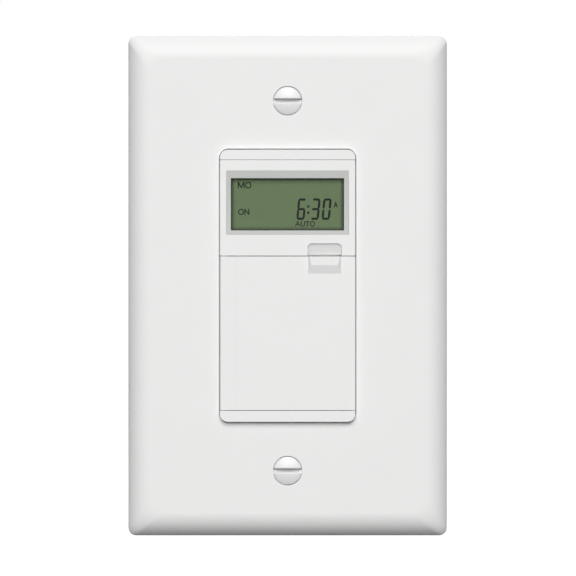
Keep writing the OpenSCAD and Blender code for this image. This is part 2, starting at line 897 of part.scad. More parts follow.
// Outside of the case, with its rear edges chamfered
module case_form() {
    c = case_chamfer;
    hull() {
        slab(case_w, case_h, case_r, c - case_depth, 0, $fn = 32);
        slab(case_w - 2 * c, case_h - 2 * c, case_r - c / 2, -case_depth, thin - case_depth, $fn = 32);
    }
}

// Walls of one terminal pocket
module pocket_shell(t) {
    deep = term_depth + pocket_wall - sink;
    translate([t[0] * (case_w / 2 - sink - deep / 2), t[1], term_z])
        cube([deep, pocket_w + 2 * pocket_wall, pocket_l + 2 * pocket_wall], center = true);
}

// Room of one terminal pocket, its screw hole and the slot for the plate's leg
module pocket_room(t) {
    translate([t[0] * (case_w / 2 - term_depth / 2 + eps / 2), t[1], term_z])
        cube([term_depth + eps, pocket_w, pocket_l], center = true);
    translate([t[0] * (term_x - pocket_wall / 2), t[1], term_z]) rotate([0, 90, 0])
        cylinder(r = term_shank_r + 2 * screw_gap, h = pocket_wall + 2 * eps, center = true);
    translate([t[0] * (term_x + term_t / 2), t[1], term_z - pocket_l / 2 - pocket_wall / 2])
        cube([term_t + 2 * leg_gap, term_leg + 2 * leg_gap, pocket_wall + 2 * eps], center = true);
}

// Case screws: long screws from the rear into the front housing's bosses
module case_screws() {
    z_head = -case_depth + head_sunk;
    color("silver") at_bosses() difference() {
        union() {
            rod(0, 0, case_head_r, z_head, z_head + case_head_h);
            rod(0, 0, case_screw_r, z_head + case_head_h, z_deck - boss_skin - sink);
        }
        for (a = [0, 90]) rotate([0, 0, a])
            block(-cross_l / 2, cross_l / 2, -cross_w / 2, cross_w / 2, z_head - eps, z_head + cross_d);
    }
}

// Terminal plates: brass pads with a leg soldered into the power board
module terminal_plates() {
    color("goldenrod") for (t = TERMINALS) difference() {
        translate([t[0] * (term_x + term_t / 2), t[1], 0]) {
            translate([0, 0, term_z]) cube([term_t, term_pad, term_pad], center = true);
            block(-term_t / 2, term_t / 2, -term_leg / 2, term_leg / 2, z_power_back - leg_out, term_z);
        }
        translate([t[0] * term_x, t[1], term_z]) rotate([0, 90, 0])
            cylinder(r = term_shank_r + tapped, h = 4 * term_t, center = true);
    }
}

// A terminal screw, backed out so that a wire goes under its head
module terminal_screw(t) {
    head = term_depth - term_t - wire_room;
    translate([t[0] * case_w / 2, t[1], term_z]) rotate([0, -90 * t[0], 0]) difference() {
        union() {
            cylinder(r = term_head_d / 2, h = head);
            cylinder(r = term_shank_r, h = term_depth + term_tip);
        }
        block(-term_head_d, term_head_d, -term_slot / 2, term_slot / 2, -eps, term_slot);
    }
}

module live_screws() {
    color("gold") for (i = [0, 1]) terminal_screw(TERMINALS[i]);
}

module neutral_screw() {
    color("silver") terminal_screw(TERMINALS[2]);
}

on_wall() wall_plate();
on_wall() plate_screws();
on_wall() mounting_strap();
on_wall() box_screws();
on_wall() screw_retainers();
on_wall() ground_screw();
on_wall() front_housing();
on_wall() display_cover();
on_wall() display_bezel();
on_wall() display_window();
on_wall() front_glass();
on_wall() rear_glass();
on_wall() reflector();
on_wall() display_holder();
on_wall() contact_strip();
on_wall() control_board();
on_wall() tact_switches();
on_wall() controller_chip();
on_wall() clock_crystal();
on_wall() backup_cell();
on_wall() cell_tabs();
on_wall() link_header();
on_wall() link_pins();
on_wall() door();
on_wall() power_board();
on_wall() relay();
on_wall() film_capacitor();
on_wall() filter_capacitors();
on_wall() varistor();
on_wall() fuse();
on_wall() rear_case();
on_wall() case_screws();
on_wall() terminal_plates();
on_wall() live_screws();
on_wall() neutral_screw();
for (k = KEYS) {
    on_wall() key_cap(k);
    on_wall() plunger(k);
}
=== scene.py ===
import json
import math

import bmesh
import bpy
from mathutils import Matrix, Vector


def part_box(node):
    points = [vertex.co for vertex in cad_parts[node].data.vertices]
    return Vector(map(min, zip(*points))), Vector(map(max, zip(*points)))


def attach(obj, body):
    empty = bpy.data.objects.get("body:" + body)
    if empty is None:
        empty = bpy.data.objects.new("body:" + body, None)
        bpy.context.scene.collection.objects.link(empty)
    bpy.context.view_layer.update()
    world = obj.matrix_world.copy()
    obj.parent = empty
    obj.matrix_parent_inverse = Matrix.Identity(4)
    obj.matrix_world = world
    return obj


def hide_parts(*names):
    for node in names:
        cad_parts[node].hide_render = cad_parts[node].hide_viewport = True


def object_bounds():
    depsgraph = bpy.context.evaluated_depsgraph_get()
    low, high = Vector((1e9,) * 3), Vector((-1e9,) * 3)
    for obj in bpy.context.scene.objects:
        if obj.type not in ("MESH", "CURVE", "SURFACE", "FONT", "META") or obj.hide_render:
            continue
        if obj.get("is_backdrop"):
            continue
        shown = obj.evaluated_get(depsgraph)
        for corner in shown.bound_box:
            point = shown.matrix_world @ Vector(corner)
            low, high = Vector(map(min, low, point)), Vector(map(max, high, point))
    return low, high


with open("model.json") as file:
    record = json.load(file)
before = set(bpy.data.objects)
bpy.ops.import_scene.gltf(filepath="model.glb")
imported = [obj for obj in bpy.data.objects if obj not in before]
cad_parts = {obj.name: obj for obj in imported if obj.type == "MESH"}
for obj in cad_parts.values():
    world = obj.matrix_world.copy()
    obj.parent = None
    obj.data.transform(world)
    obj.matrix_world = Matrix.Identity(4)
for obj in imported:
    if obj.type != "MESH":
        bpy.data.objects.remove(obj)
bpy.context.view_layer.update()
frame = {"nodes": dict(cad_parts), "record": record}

# Rear case: the deep box that goes into the wall box and holds the power parts, moulded in
# grey flame-proof plastic. Side pockets give way to the wire screws, sunk holes take the case
# screws, and the rear has a bare sunk field and a groove as long as a wire's stripped end.
mm = 0.001
hair = 0.01 * mm
mounts = {m["name"]: Vector(m["pos_m"]) for m in frame["record"]["mounts"]}


def only(piece):
    """Leaves this piece alone selected and active, for the operators that follow."""
    bpy.ops.object.select_all(action="DESELECT")
    piece.select_set(True)
    bpy.context.view_layer.objects.active = piece


def named(name):
    """Names the primitive just added and puts its place into its mesh."""
    piece = bpy.context.object
    piece.name = name
    piece.data.name = name
    bpy.ops.object.transform_apply(location=True, rotation=True, scale=True)
    return piece


def block(name, low, high):
    """A box between two corners."""
    low, high = Vector(low), Vector(high)
    bpy.ops.mesh.primitive_cube_add(size=1, location=(low + high) / 2, scale=high - low)
    return named(name)


def rod(name, centre, radius, length, axis="Y", sides=48):
    """A round bar centred on a point, along one axis."""
    turn = {"X": (0, math.pi / 2, 0), "Y": (math.pi / 2, 0, 0), "Z": (0, 0, 0)}[axis]
    bpy.ops.mesh.primitive_cylinder_add(
        vertices=sides, radius=radius, depth=length, location=centre, rotation=turn)
    return named(name)


def pick(piece, kind, chosen):
    """Opens a piece for editing, with those corners, edges or faces selected that a test picks."""
    only(piece)
    bpy.ops.object.mode_set(mode="EDIT")
    bpy.ops.mesh.select_mode(type=kind)
    bpy.ops.mesh.select_all(action="DESELECT")
    mesh = bmesh.from_edit_mesh(piece.data)
    for part in {"VERT": mesh.verts, "EDGE": mesh.edges, "FACE": mesh.faces}[kind]:
        part.select_set(chosen(part))
    bmesh.update_edit_mesh(piece.data)


def shut():
    """Ends the editing of a piece."""
    bpy.ops.object.mode_set(mode="OBJECT")


def bevel_edges(piece, chosen, width, segments):
    """Rounds the edges that a test picks by their two ends."""
    pick(piece, "EDGE", lambda edge: chosen(edge.verts[0].co, edge.verts[1].co))
    bpy.ops.mesh.bevel(offset=width, segments=segments, profile=0.5)
    shut()
    return piece


def runs_deep(a, b):
    """True for an edge that runs front to back."""
    return (a - b).xz.length < hair and abs(a.y - b.y) > hair


def slab(name, low, high, radius, segments=6):
    """A box whose four front-to-back edges are rounded."""
    return bevel_edges(block(name, low, high), runs_deep, radius, segments)


def modify(piece, kind, **settings):
    """Adds a modifier with these settings and applies it."""
    only(piece)
    modifier = piece.modifiers.new(kind, kind)
    for name, value in settings.items():
        setattr(modifier, name, value)
    bpy.ops.object.modifier_apply(modifier=modifier.name)


def boolean(piece, other, operation):
    """Takes another piece away from this one or adds it, and removes that other piece."""
    modify(piece, "BOOLEAN", operation=operation, solver="EXACT", object=other)
    bpy.data.objects.remove(other)


def cut(piece, cutter):
    boolean(piece, cutter, "DIFFERENCE")


def fuse(piece, other):
    boolean(piece, other, "UNION")


def soften(piece, width, angle=35):
    """Breaks the sharp edges as a mould or a tumbling drum does, and smooths the shading."""
    modify(piece, "BEVEL", width=width, segments=2, limit_method="ANGLE",
           angle_limit=math.radians(angle), use_clamp_overlap=True)
    bpy.ops.object.shade_smooth_by_angle(angle=math.radians(angle + 5))
    modify(piece, "WEIGHTED_NORMAL", keep_sharp=True)


class Wire:
    """One output of a material's nodes. Maths on it adds Math nodes."""

    def __init__(self, tree, socket):
        self.tree = tree
        self.socket = socket

    def fill(self, node, sockets):
        """Gives a node's sockets their values or links."""
        for name, value in sockets.items():
            if isinstance(value, Wire):
                self.tree.links.new(value.socket, node.inputs[name])
            else:
                node.inputs[name].default_value = value

    def node(self, kind, settings, sockets, out=0):
        """Adds a node: its settings first, then the values or links of its sockets."""
        made = self.tree.nodes.new(kind)
        for name, value in settings.items():
            setattr(made, name, value)
        self.fill(made, sockets)
        return Wire(self.tree, made.outputs[out])

    def maths(self, operation, first, second):
        return self.node("ShaderNodeMath", {"operation": operation}, {0: first, 1: second})

    def __add__(self, other):
        return self.maths("ADD", self, other)

    def __radd__(self, other):
        return self.maths("ADD", other, self)

    def __sub__(self, other):
        return self.maths("SUBTRACT", self, other)

    def __rsub__(self, other):
        return self.maths("SUBTRACT", other, self)

    def __mul__(self, other):
        return self.maths("MULTIPLY", self, other)

    def __rmul__(self, other):
        return self.maths("MULTIPLY", other, self)

    def noise(self, size, detail=2.0):
        """A soft pattern from 0 to 1 with features of about this size."""
        return self.node("ShaderNodeTexNoise", {},
                         {"Vector": self, "Scale": 1 / size, "Detail": detail})

    def blend(self, low, high):
        """A colour between two, by this value."""
        return self.node("ShaderNodeMix", {"data_type": "RGBA"}, {0: self, 6: low, 7: high}, out=2)

    def bump(self, depth, strength):
        """This value as a height on the surface."""
        return self.node("ShaderNodeBump", {},
                         {"Height": self, "Distance": depth, "Strength": strength})


def new_finish(name):
    """A new material, its shader, and the object's own coordinates."""
    material = bpy.data.materials.new(name)
    material.use_nodes = True
    tree = material.node_tree
    at = Wire(tree, None).node("ShaderNodeTexCoord", {}, {}, "Object")
    return material, tree.nodes["Principled BSDF"], at


def tint(colour, factor):
    return (*[min(1.0, c * factor) for c in colour], 1)


def moulded_plastic(name, colour, roughness, grain=0.12 * mm, depth=0.004 * mm, gloss=0.3):
    """Plastic from a spark-eroded mould: faint cloudiness, and a fine grain on the surface."""
    material, shader, at = new_finish(name)
    at.fill(shader, {
        "Base Color": at.noise(9 * mm, 3).blend(tint(colour, 0.985), tint(colour, 1.015)),
        "Roughness": roughness - 0.05 + 0.1 * at.noise(3 * mm),
        "Normal": at.noise(grain, 1).bump(depth, 0.5), "Specular IOR Level": gloss})
    return material


def dress(piece, material):
    piece.data.materials.clear()
    piece.data.materials.append(material)


def mount_on(piece, material, slot, *nodes, body="switch"):
    """Gives a piece its finish, and says which body carries it and which solids it stands for."""
    dress(piece, material)
    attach(piece, body)
    if nodes:
        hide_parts(*nodes)


case_low, case_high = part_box("rear_case")
screw_low, screw_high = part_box("case_screws")
case_wall, case_back, case_corner = 1.8 * mm, 2 * mm, 3 * mm
case_edge, room_corner = 1 * mm, 1.2 * mm
case_head_r, sunk_gap, sunk_depth = 2.5 * mm, 0.2 * mm, 2.2 * mm
boss_x = screw_high.x - case_head_r
boss_z = screw_high.z - case_head_r
case_holes = [(sx * boss_x, sz * boss_z) for sx in (-1, 1) for sz in (-1, 1)]
wire_screws = [mounts[n + "_terminal"] for n in ("line", "load", "neutral")]
pocket_depth, pocket_wide, pocket_deep = 5 * mm, 11 * mm, 12 * mm
pocket_wall, pocket_skin, shank_way_r = 1.5 * mm, 0.2 * mm, 2.4 * mm


def beside(name, spot, inner, outer, wall):
    """A block about a wire screw, between two places across the case."""
    half = Vector((0, pocket_deep / 2 + wall, pocket_wide / 2 + wall))
    return block(name, Vector((min(inner, outer), spot.y, spot.z)) - half,
                 Vector((max(inner, outer), spot.y, spot.z)) + half)


rear_case = slab("case_shell", case_low, case_high, case_corner)
bevel_edges(rear_case, lambda a, b: min(a.y, b.y) > case_high.y - hair, case_edge, 4)
inset = Vector((case_wall, 0, case_wall))
cut(rear_case, slab("room", case_low + inset - Vector((0, mm, 0)),
                    case_high - inset - Vector((0, case_back, 0)), room_corner))
for spot in wire_screws:
    side = math.copysign(1, spot.x)
    outer = side * case_high.x
    floor_x = side * (case_high.x - pocket_depth)
    fuse(rear_case, beside("shell", spot, floor_x - side * pocket_wall,
                           outer - side * pocket_skin, pocket_wall))
    cut(rear_case, beside("room", spot, floor_x, outer + side * mm, 0))
    cut(rear_case, rod("way", (floor_x, spot.y, spot.z), shank_way_r, 4 * pocket_wall, "X"))
for x, z in case_holes:
    cut(rear_case, rod("sunk hole", (x, case_high.y, z), case_head_r + sunk_gap, 2 * sunk_depth))
field_x, field_z, field_d, field_corner = 12 * mm, (-13 * mm, 21 * mm), 0.4 * mm, 1.5 * mm
gauge_x, gauge_z, gauge_d, gauge_end = 7 * mm, (-23.2 * mm, -20.8 * mm), 0.8 * mm, 1.19 * mm
cut(rear_case, slab("field", (-field_x, case_high.y - field_d, field_z[0]),
                    (field_x, case_high.y + mm, field_z[1]), field_corner))
cut(rear_case, slab("gauge", (-gauge_x, case_high.y - gauge_d, gauge_z[0]),
                    (gauge_x, case_high.y + mm, gauge_z[1]), gauge_end))
soften(rear_case, 0.2 * mm)
case_grey = moulded_plastic("grey case plastic", (0.50, 0.51, 0.51), 0.5, 0.35 * mm, 0.02 * mm)
mount_on(rear_case, case_grey, "case_plastic", "rear_case")

# Power board: a green glass-fibre board on four pegs in the case, with the parts that
# feed the clock and switch the lamp: relay, film and can capacitors, varistor and fuse.
# They are soldered in, and the closed case hides them.


def dress_nodes(material, *nodes):
    """Gives its finish to each solid that stays as it is."""
    for node in nodes:
        dress(frame["nodes"][node], material)


def lacquered_board(name, colour):
    """Solder mask over woven glass: a fine square weave and faint cloudiness."""
    material, shader, at = new_finish(name)
    weave = at.node("ShaderNodeTexChecker", {}, {"Vector": at, "Scale": 1 / (0.8 * mm)}, out=1)
    cloud = 0.7 * at.noise(4 * mm) + 0.3 * weave
    at.fill(shader, {
        "Base Color": cloud.blend(tint(colour, 0.8), tint(colour, 1.25)),
        "Roughness": 0.3 + 0.15 * at.noise(2 * mm), "Normal": weave.bump(0.01 * mm, 0.4)})
    return material


def bright_metal(name, colour, roughness):
    """Plated or bare metal with fine drawing marks and dull patches."""
    material, shader, at = new_finish(name)
    dull = at.noise(2.5 * mm, 4)
    at.fill(shader, {
        "Base Color": dull.blend(tint(colour, 0.88), tint(colour, 1.12)),
        "Roughness": roughness + 0.2 * dull - 0.1, "Metallic": 1.0,
        "Normal": at.noise(0.15 * mm, 2).bump(0.003 * mm, 0.4)})
    return material


board_green = lacquered_board("green board", (0.03, 0.17, 0.07))
nickel = bright_metal("nickel plate", (0.68, 0.67, 0.64), 0.3)
brass = bright_metal("brass", (0.74, 0.55, 0.26), 0.3)
dress_nodes(board_green, "power_board")
dress_nodes(nickel, "fuse")
power_parts = {
    "relay": ("blue relay cover", (0.03, 0.09, 0.30), 0.35),
    "film_capacitor": ("yellow capacitor case", (0.62, 0.44, 0.05), 0.4),
    "filter_capacitors": ("dark capacitor sleeve", (0.03, 0.035, 0.10), 0.3),
    "varistor": ("blue dipped resin", (0.06, 0.17, 0.40), 0.3),
}
for node, (name, colour, roughness) in power_parts.items():
    dress_nodes(moulded_plastic(name, colour, roughness, 0.5 * mm, 0.01 * mm), node)

# Wire terminals: three stamped brass pads with a leg soldered into the power board, each
# with a slotted binding-head screw. The line and load screws are brass and the neutral
# screw is nickel plated. They are backed out a little, ready for a wire.


def open_all():
    """Opens the active piece for editing, with all of it selected."""
    bpy.ops.object.mode_set(mode="EDIT")
    bpy.ops.mesh.select_all(action="SELECT")


def outward(piece):
    """Turns all the faces of a piece outwards, and ends its editing."""
    open_all()
    bpy.ops.mesh.normals_make_consistent(inside=False)
    shut()
    return piece


def draw_out(way):
    """Extrudes what is selected, and moves it."""
    bpy.ops.mesh.extrude_region_move(TRANSFORM_OT_translate={"value": way})


def turned(name, profile, sides=40):
    """A lathe-turned solid about the Y axis: a disc, drawn out ring by ring along a profile."""
    radius, y = profile[0]
    bpy.ops.mesh.primitive_circle_add(vertices=sides, radius=radius, fill_type="NGON",
                                      location=(0, y, 0), rotation=(math.pi / 2, 0, 0))
    piece = named(name)
    open_all()
    for next_radius, next_y in profile[1:]:
        draw_out((0, next_y - y, 0))
        ratio = next_radius / radius
        bpy.ops.transform.resize(value=(ratio, 1, ratio), center_override=(0, next_y, 0))
        radius, y = next_radius, next_y
    return outward(piece)


def moved(x, y, z):
    return Matrix.Translation((x, y, z))


def spun(axis, angle):
    return Matrix.Rotation(angle, 4, axis)


pitch = 0.79 * mm


def thread(core, start, end):
    """A screw thread about the Y axis: a three-cornered wire wound round the core."""
    wire = 0.45 * pitch
    bpy.ops.mesh.primitive_circle_add(vertices=3, radius=wire, location=(0, core + 0.3 * wire, 0))
    piece = named("thread")
    modify(piece, "SCREW", axis="X", screw_offset=pitch, steps=20, render_steps=20,
           iterations=int((end - start) / pitch))
    open_all()
    bpy.ops.mesh.fill_holes(sides=3)
    outward(piece)
    piece.data.transform(moved(0, start, 0) @ spun("Z", math.pi / 2))
    return piece


def joined(piece, *others):
    only(piece)
    for other in others:
        other.select_set(True)
    bpy.ops.object.join()
    return piece


def copy_of(piece, name, place):
    """A copy with its own mesh, moved into place in that mesh."""
    mesh = piece.data.copy()
    mesh.transform(place)
    twin = bpy.data.objects.new(name, mesh)
    bpy.context.collection.objects.link(twin)
    return twin


def both_ways(x, y, z):
    """The low and the high corner of a box that is even about the middle in x and z."""
    return Vector((-x, y[0], -z)), Vector((x, y[1], z))


terminal_head_r, terminal_head_h, terminal_round = 4 * mm, 2 * mm, 0.35 * mm
terminal_slot_half, terminal_slot_d = 0.55 * mm, 1.1 * mm
terminal_core, terminal_length = 1.75 * mm, 8 * mm
binding_screw = turned("binding screw", [
    (terminal_head_r - terminal_round, 0), (terminal_head_r - 0.1 * mm, 0.15 * mm),
    (terminal_head_r, terminal_round), (terminal_head_r, terminal_head_h - 0.3 * mm),
    (terminal_head_r - 0.2 * mm, terminal_head_h), (terminal_core, terminal_head_h),
    (terminal_core, terminal_length)])
cut(binding_screw, block("slot", *both_ways(
    terminal_head_r, (-mm, terminal_slot_d), terminal_slot_half)))
soften(binding_screw, 0.08 * mm)
joined(binding_screw, thread(terminal_core, terminal_head_h + 0.4 * mm, terminal_length - 0.6 * mm))
terminal_nodes = {"line": "live_screws", "load": "live_screws", "neutral": "neutral_screw"}
for spot, (name, node) in zip(wire_screws, terminal_nodes.items()):
    side = math.copysign(1, spot.x)
    turn = spun("Z", side * math.pi / 2) @ spun("Y", 0.4 * spot.z / mm)
    place = moved(side * case_high.x, spot.y, spot.z) @ turn
    screw = copy_of(binding_screw, name + "_wire_screw", place)
    metal, slot = (nickel, "zinc_steel") if name == "neutral" else (brass, "brass_parts")
    mount_on(screw, metal, slot, node)
bpy.data.objects.remove(binding_screw)
dress_nodes(brass, "terminal_plates")

# Control board: a second green board behind the keys, with the clock chip, its crystal,
# the backup cell in welded strips, eight small switches and the pins down to the power
# board. It is clamped between the housing's bosses and the case's posts.
black_plastic = moulded_plastic("black plastic", (0.02, 0.02, 0.022), 0.45)
dress_nodes(black_plastic, "tact_switches", "controller_chip", "link_header")
dress_nodes(nickel, "clock_crystal", "backup_cell", "cell_tabs")
dress_nodes(board_green, "control_board")
dress_nodes(brass, "link_pins")

# Display: two panes of glass with the liquid crystal between them, a foil reflector, a
# plastic holder and a strip of conducting rubber that joins it to the board. The front
# pane shows grey green, with painted shade that darkens it towards the sides and the bottom
# of its visible part, as the recess behind the bezel would shade it.
view_low = Vector((-14.85 * mm, 0, 14.45 * mm))
view_high = Vector((14.75 * mm, 0, 28.1 * mm))
pane_low, pane_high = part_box("front_glass")
pane_back = 0.1 * mm
pane = block("display_pane", pane_low + Vector((0, pane_back, 0)), pane_high)
soften(pane, 0.15 * mm)


def display_green():
    """The grey green of an unlit display, with painted shade towards the sides and the bottom of
    the visible part.
    """
    material, shader, at = new_finish("display green")
    across = at.node("ShaderNodeSeparateXYZ", {}, {"Vector": at}, "X")
    up = at.node("ShaderNodeSeparateXYZ", {}, {"Vector": at}, "Z")
    # Painted shade: the green falls to the dim colour near the side and bottom edges of the visible
    # part. The top limit is moved up by the fade, so only the bezel's cast shadow darkens the top.
    shade_overrun, fade = 0.3 * mm, 1.5 * mm
    dim, lit = (0.012, 0.018, 0.008, 1), (0.105, 0.158, 0.068, 1)

    def from_edge(coordinate, low, high):
        middle, half = (low + high) / 2, (high - low) / 2
        away = at.node("ShaderNodeMath", {"operation": "ABSOLUTE"}, {0: coordinate - middle})
        return at.node("ShaderNodeMapRange", {"interpolation_type": "SMOOTHERSTEP"},
                       {"Value": half - away, "From Min": -shade_overrun, "From Max": fade})

    light_across = from_edge(across, view_low.x, view_high.x)
    light = light_across * from_edge(up, view_low.z, view_high.z + fade)
    cloud = 0.94 + 0.06 * at.noise(3 * mm)
    at.fill(shader, {"Base Color": (light * cloud).blend(dim, lit), "Specular IOR Level": 0.15,
                     "Roughness": 0.35 + 0.1 * at.noise(1.5 * mm)})
    return material


mount_on(pane, display_green(), "display_glass", "front_glass")
dress_nodes(moulded_plastic("rear pane", (0.13, 0.17, 0.10), 0.15), "rear_glass")
dress_nodes(bright_metal("reflector foil", (0.45, 0.50, 0.38), 0.4), "reflector")
dress_nodes(moulded_plastic("ivory plastic", (0.70, 0.66, 0.55), 0.5), "display_holder")
dress_nodes(moulded_plastic("striped rubber", (0.05, 0.05, 0.052), 0.7), "contact_strip")

# Figures on the display: seven-segment digits, leaning a little, and small plain words
# for the day, the state and the mode. They are dark where the liquid crystal is driven,
# and are made here as films a few hundredths of a millimetre thick on the front pane.
ink_front = pane_low.y + 0.05 * mm
ink_back = pane_low.y + pane_back
digit_wide, digit_high, stroke, lean = 2.2 * mm, 5.6 * mm, 0.58 * mm, 0.095
digit_low = 17.26 * mm
bar = block("bar", *both_ways(
    0.5 * digit_wide - 0.28 * stroke, (ink_front, ink_back), stroke / 2))
bevel_edges(bar, runs_deep, 0.45 * stroke, 1)
rise = digit_high / 2 - stroke / 2
shrink = Matrix.Diagonal(((rise - 0.3 * stroke) / (digit_wide - 0.56 * stroke), 1, 1, 1))
upright = spun("Y", math.pi / 2) @ shrink
side_x = digit_wide / 2 - stroke / 2
BARS = {
    "top": moved(0, 0, 2 * rise),
    "middle": moved(0, 0, rise),
    "bottom": Matrix.Identity(4),
    "upper left": moved(-side_x, 0, 1.5 * rise) @ upright,
    "upper right": moved(side_x, 0, 1.5 * rise) @ upright,
    "lower left": moved(-side_x, 0, 0.5 * rise) @ upright,
    "lower right": moved(side_x, 0, 0.5 * rise) @ upright,
}
LEFT_OUT = {6: ["upper right"], 3: ["upper left", "lower left"], 0: ["middle"]}
leaning = Matrix(((1, 0, lean, 0), (0, 1, 0, 0), (0, 0, 1, 0), (0, 0, 0, 1)))
figures = []
for digit, left in ((6, 2.26 * mm), (3, 5.97 * mm), (0, 8.87 * mm)):
    foot = moved(left + digit_wide / 2, 0, digit_low + stroke / 2)
    for where, place in BARS.items():
        if where not in LEFT_OUT[digit]:
            figures.append(copy_of(bar, "bar", foot @ leaning @ place))
bpy.data.objects.remove(bar)
dot_x, dot_half = 5.4 * mm, 0.29 * mm
for dot_z in (19.11 * mm, 20.76 * mm):
    figures.append(block("dot", (dot_x - dot_half, ink_front, dot_z - dot_half),
                         (dot_x + dot_half, ink_back, dot_z + dot_half)))
display_figures = joined(*figures)
display_figures.name = "display_figures"

STRAIGHT = {
    "M": [(0, 0, 0, 1), (0, 1, 0.5, 0.1), (0.5, 0.1, 1, 1), (1, 1, 1, 0)],
    "N": [(0, 0, 0, 1), (0, 1, 1, 0), (1, 0, 1, 1)],
    "A": [(0, 0, 0.5, 1), (0.5, 1, 1, 0), (0.22, 0.35, 0.78, 0.35)],
    "T": [(0, 1, 1, 1), (0.5, 1, 0.5, 0)],
}
LETTER_WIDE = {"M": 1.15, "O": 1.05, "N": 0.9, "A": 1.1, "U": 0.85, "T": 0.8}


def straight_stroke(start, end, thick):
    """A bar of film from one point to another, run on at both ends by half its thickness."""
    run = end - start
    half = thick / 2
    piece = block("stroke", (-half, ink_front, -half), (run.length + half, ink_back, half))
    piece.data.transform(moved(*start) @ spun("Y", -math.atan2(run.z, run.x)))
    return piece


def round_stroke(low, high, thick, open_top):
    """The ring of an O, or a ring with its upper half taken off and its ends drawn up to a U."""
    across = (high.x - low.x - thick) / 2
    up = across if open_top else (high.z - low.z - thick) / 2
    centre_z = low.z + thick / 2 + up
    bpy.ops.mesh.primitive_circle_add(vertices=24, radius=1, rotation=(math.pi / 2, 0, 0),
                                      location=((low.x + high.x) / 2, ink_front, centre_z))
    bpy.context.object.scale = (across, up, 1)
    piece = named("stroke")
    if open_top:
        pick(piece, "VERT", lambda vertex: vertex.co.z > centre_z + hair)
        bpy.ops.mesh.delete(type="VERT")
        shut()
        pick(piece, "VERT", lambda vertex: vertex.co.z > centre_z - hair)
        draw_out((0, 0, high.z - centre_z))
        shut()
    bpy.ops.object.mode_set(mode="EDIT")
    bpy.ops.mesh.select_mode(type="VERT")
    open_all()
    draw_out((0, ink_back - ink_front, 0))
    shut()
    modify(piece, "SOLIDIFY", thickness=thick, offset=0)
    return outward(piece)


def word(text, left, right, low, high):
    """A short word between four limits, letter by letter and stroke by stroke."""
    thick = 0.16 * (high - low)
    gap = 0.1
    share = (right - left) / (sum(LETTER_WIDE[c] for c in text) + gap * (len(text) - 1))
    strokes = []
    for letter in text:
        corner = Vector((left, 0, low))
        size = Vector((LETTER_WIDE[letter] * share, 0, high - low))
        inset = Vector((thick / 2, 0, thick / 2))
        room = size - 2 * inset
        if letter in STRAIGHT:
            for x0, z0, x1, z1 in STRAIGHT[letter]:
                start = corner + inset + room * Vector((x0, 0, z0))
                end = corner + inset + room * Vector((x1, 0, z1))
                strokes.append(straight_stroke(start, end, thick))
        else:
            strokes.append(round_stroke(corner, corner + size, thick, letter == "U"))
        left += size.x + gap * share
    return joined(*strokes)


display_words = joined(
    word("MO", -13.05 * mm, -9.49 * mm, 25.44 * mm, 27.20 * mm),
    word("ON", -12.97 * mm, -10.02 * mm, 18.52 * mm, 20.14 * mm),
    word("AUTO", 1.95 * mm, 7.16 * mm, 15.50 * mm, 16.92 * mm),
    word("A", 12.05 * mm, 13.10 * mm, 20.50 * mm, 21.92 * mm))
display_words.name = "display_words"
display_words.data.name = "display_words"
ink = moulded_plastic("driven crystal", (0.004, 0.006, 0.003), 0.6, 0.3 * mm, 0.001 * mm, 0.02)
for piece in (display_figures, display_words):
    mount_on(piece, ink, "display_glass")

# Front housing: the white moulding that everything else hangs on. Its flange lies on the
# strap, its tub reaches back to the control board, and its tower comes through the wall
# plate and ends in the two narrow strips above and below the face.
white_face = (0.81, 0.81, 0.805)
house_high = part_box("front_housing")[1]
cover_low, cover_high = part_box("display_cover")
door_low, door_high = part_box("door")
deck_y = cover_high.y
face_y = cover_low.y
flange_front, flange_back, flange_corner = -4 * mm, -1.2 * mm, 2 * mm
tower_x, tower_corner = cover_high.x, 2.05 * mm
strip_z = cover_high.z + 0.1 * mm
tower_z = strip_z + 2.6 * mm
low_strip_z = 2.9 * mm - tower_z
tub_x, tub_wall, tub_corner, room_round = tower_x - 0.45 * mm, 1.4 * mm, 1.4 * mm, 0.8 * mm
deck_t, pane_gap, channel_x = 1.5 * mm, 0.15 * mm, 30 * mm
hinge_x, hinge_y = door_low.x + 0.9 * mm, face_y + 0.9 * mm
pin_bore, bore_long = 0.54 * mm, 2.4 * mm
key_names = [n[:-len("_key")] for n in frame["nodes"] if n.endswith("_key")]
key_lip = {name: 0.6 * mm if name == "reset" else 0.8 * mm for name in key_names}
key_gap = 0.2 * mm
stop_x, stop_half, stop_gap = (tower_x - 1.6 * mm, tower_x - 0.4 * mm), 2 * mm, 0.05 * mm

housing = slab("housing_shell", *both_ways(
    house_high.x, (flange_front, flange_back), house_high.z), flange_corner)
fuse(housing, slab("tower", *both_ways(
    tower_x, (face_y, flange_back - 0.1 * mm), tower_z), tower_corner, 8))
fuse(housing, slab("tub", *both_ways(
    tub_x, (flange_back - 0.3 * mm, house_high.y), strip_z), tub_corner))
cut(housing, block("channel", (-channel_x, face_y - mm, low_strip_z),
                         (channel_x, deck_y, strip_z)))
cut(housing, slab("room", *both_ways(
    tub_x - tub_wall, (deck_y + deck_t, house_high.y + mm), strip_z - tub_wall), room_round))
cut(housing, block("display hole", (pane_low.x - pane_gap, deck_y - mm, pane_low.z - pane_gap),
                         (pane_high.x + pane_gap, house_high.y, pane_high.z + pane_gap)))
for name in key_names:
    low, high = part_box(name + "_key")
    lip = key_lip[name] - key_gap
    shrunk = Vector((lip, 0, lip))
    low, high = low + shrunk, high - shrunk
    low.y, high.y = deck_y - mm, deck_y + 2 * mm
    cut(housing, slab("key hole", low, high, (high.z - low.z) / 2 - 0.02 * mm, 8))
for z in (-26 * mm, -6 * mm):
    fuse(housing, block("stop", (stop_x[0], door_high.y + stop_gap, z - stop_half),
                              (stop_x[1], deck_y + 0.4 * mm, z + stop_half)))
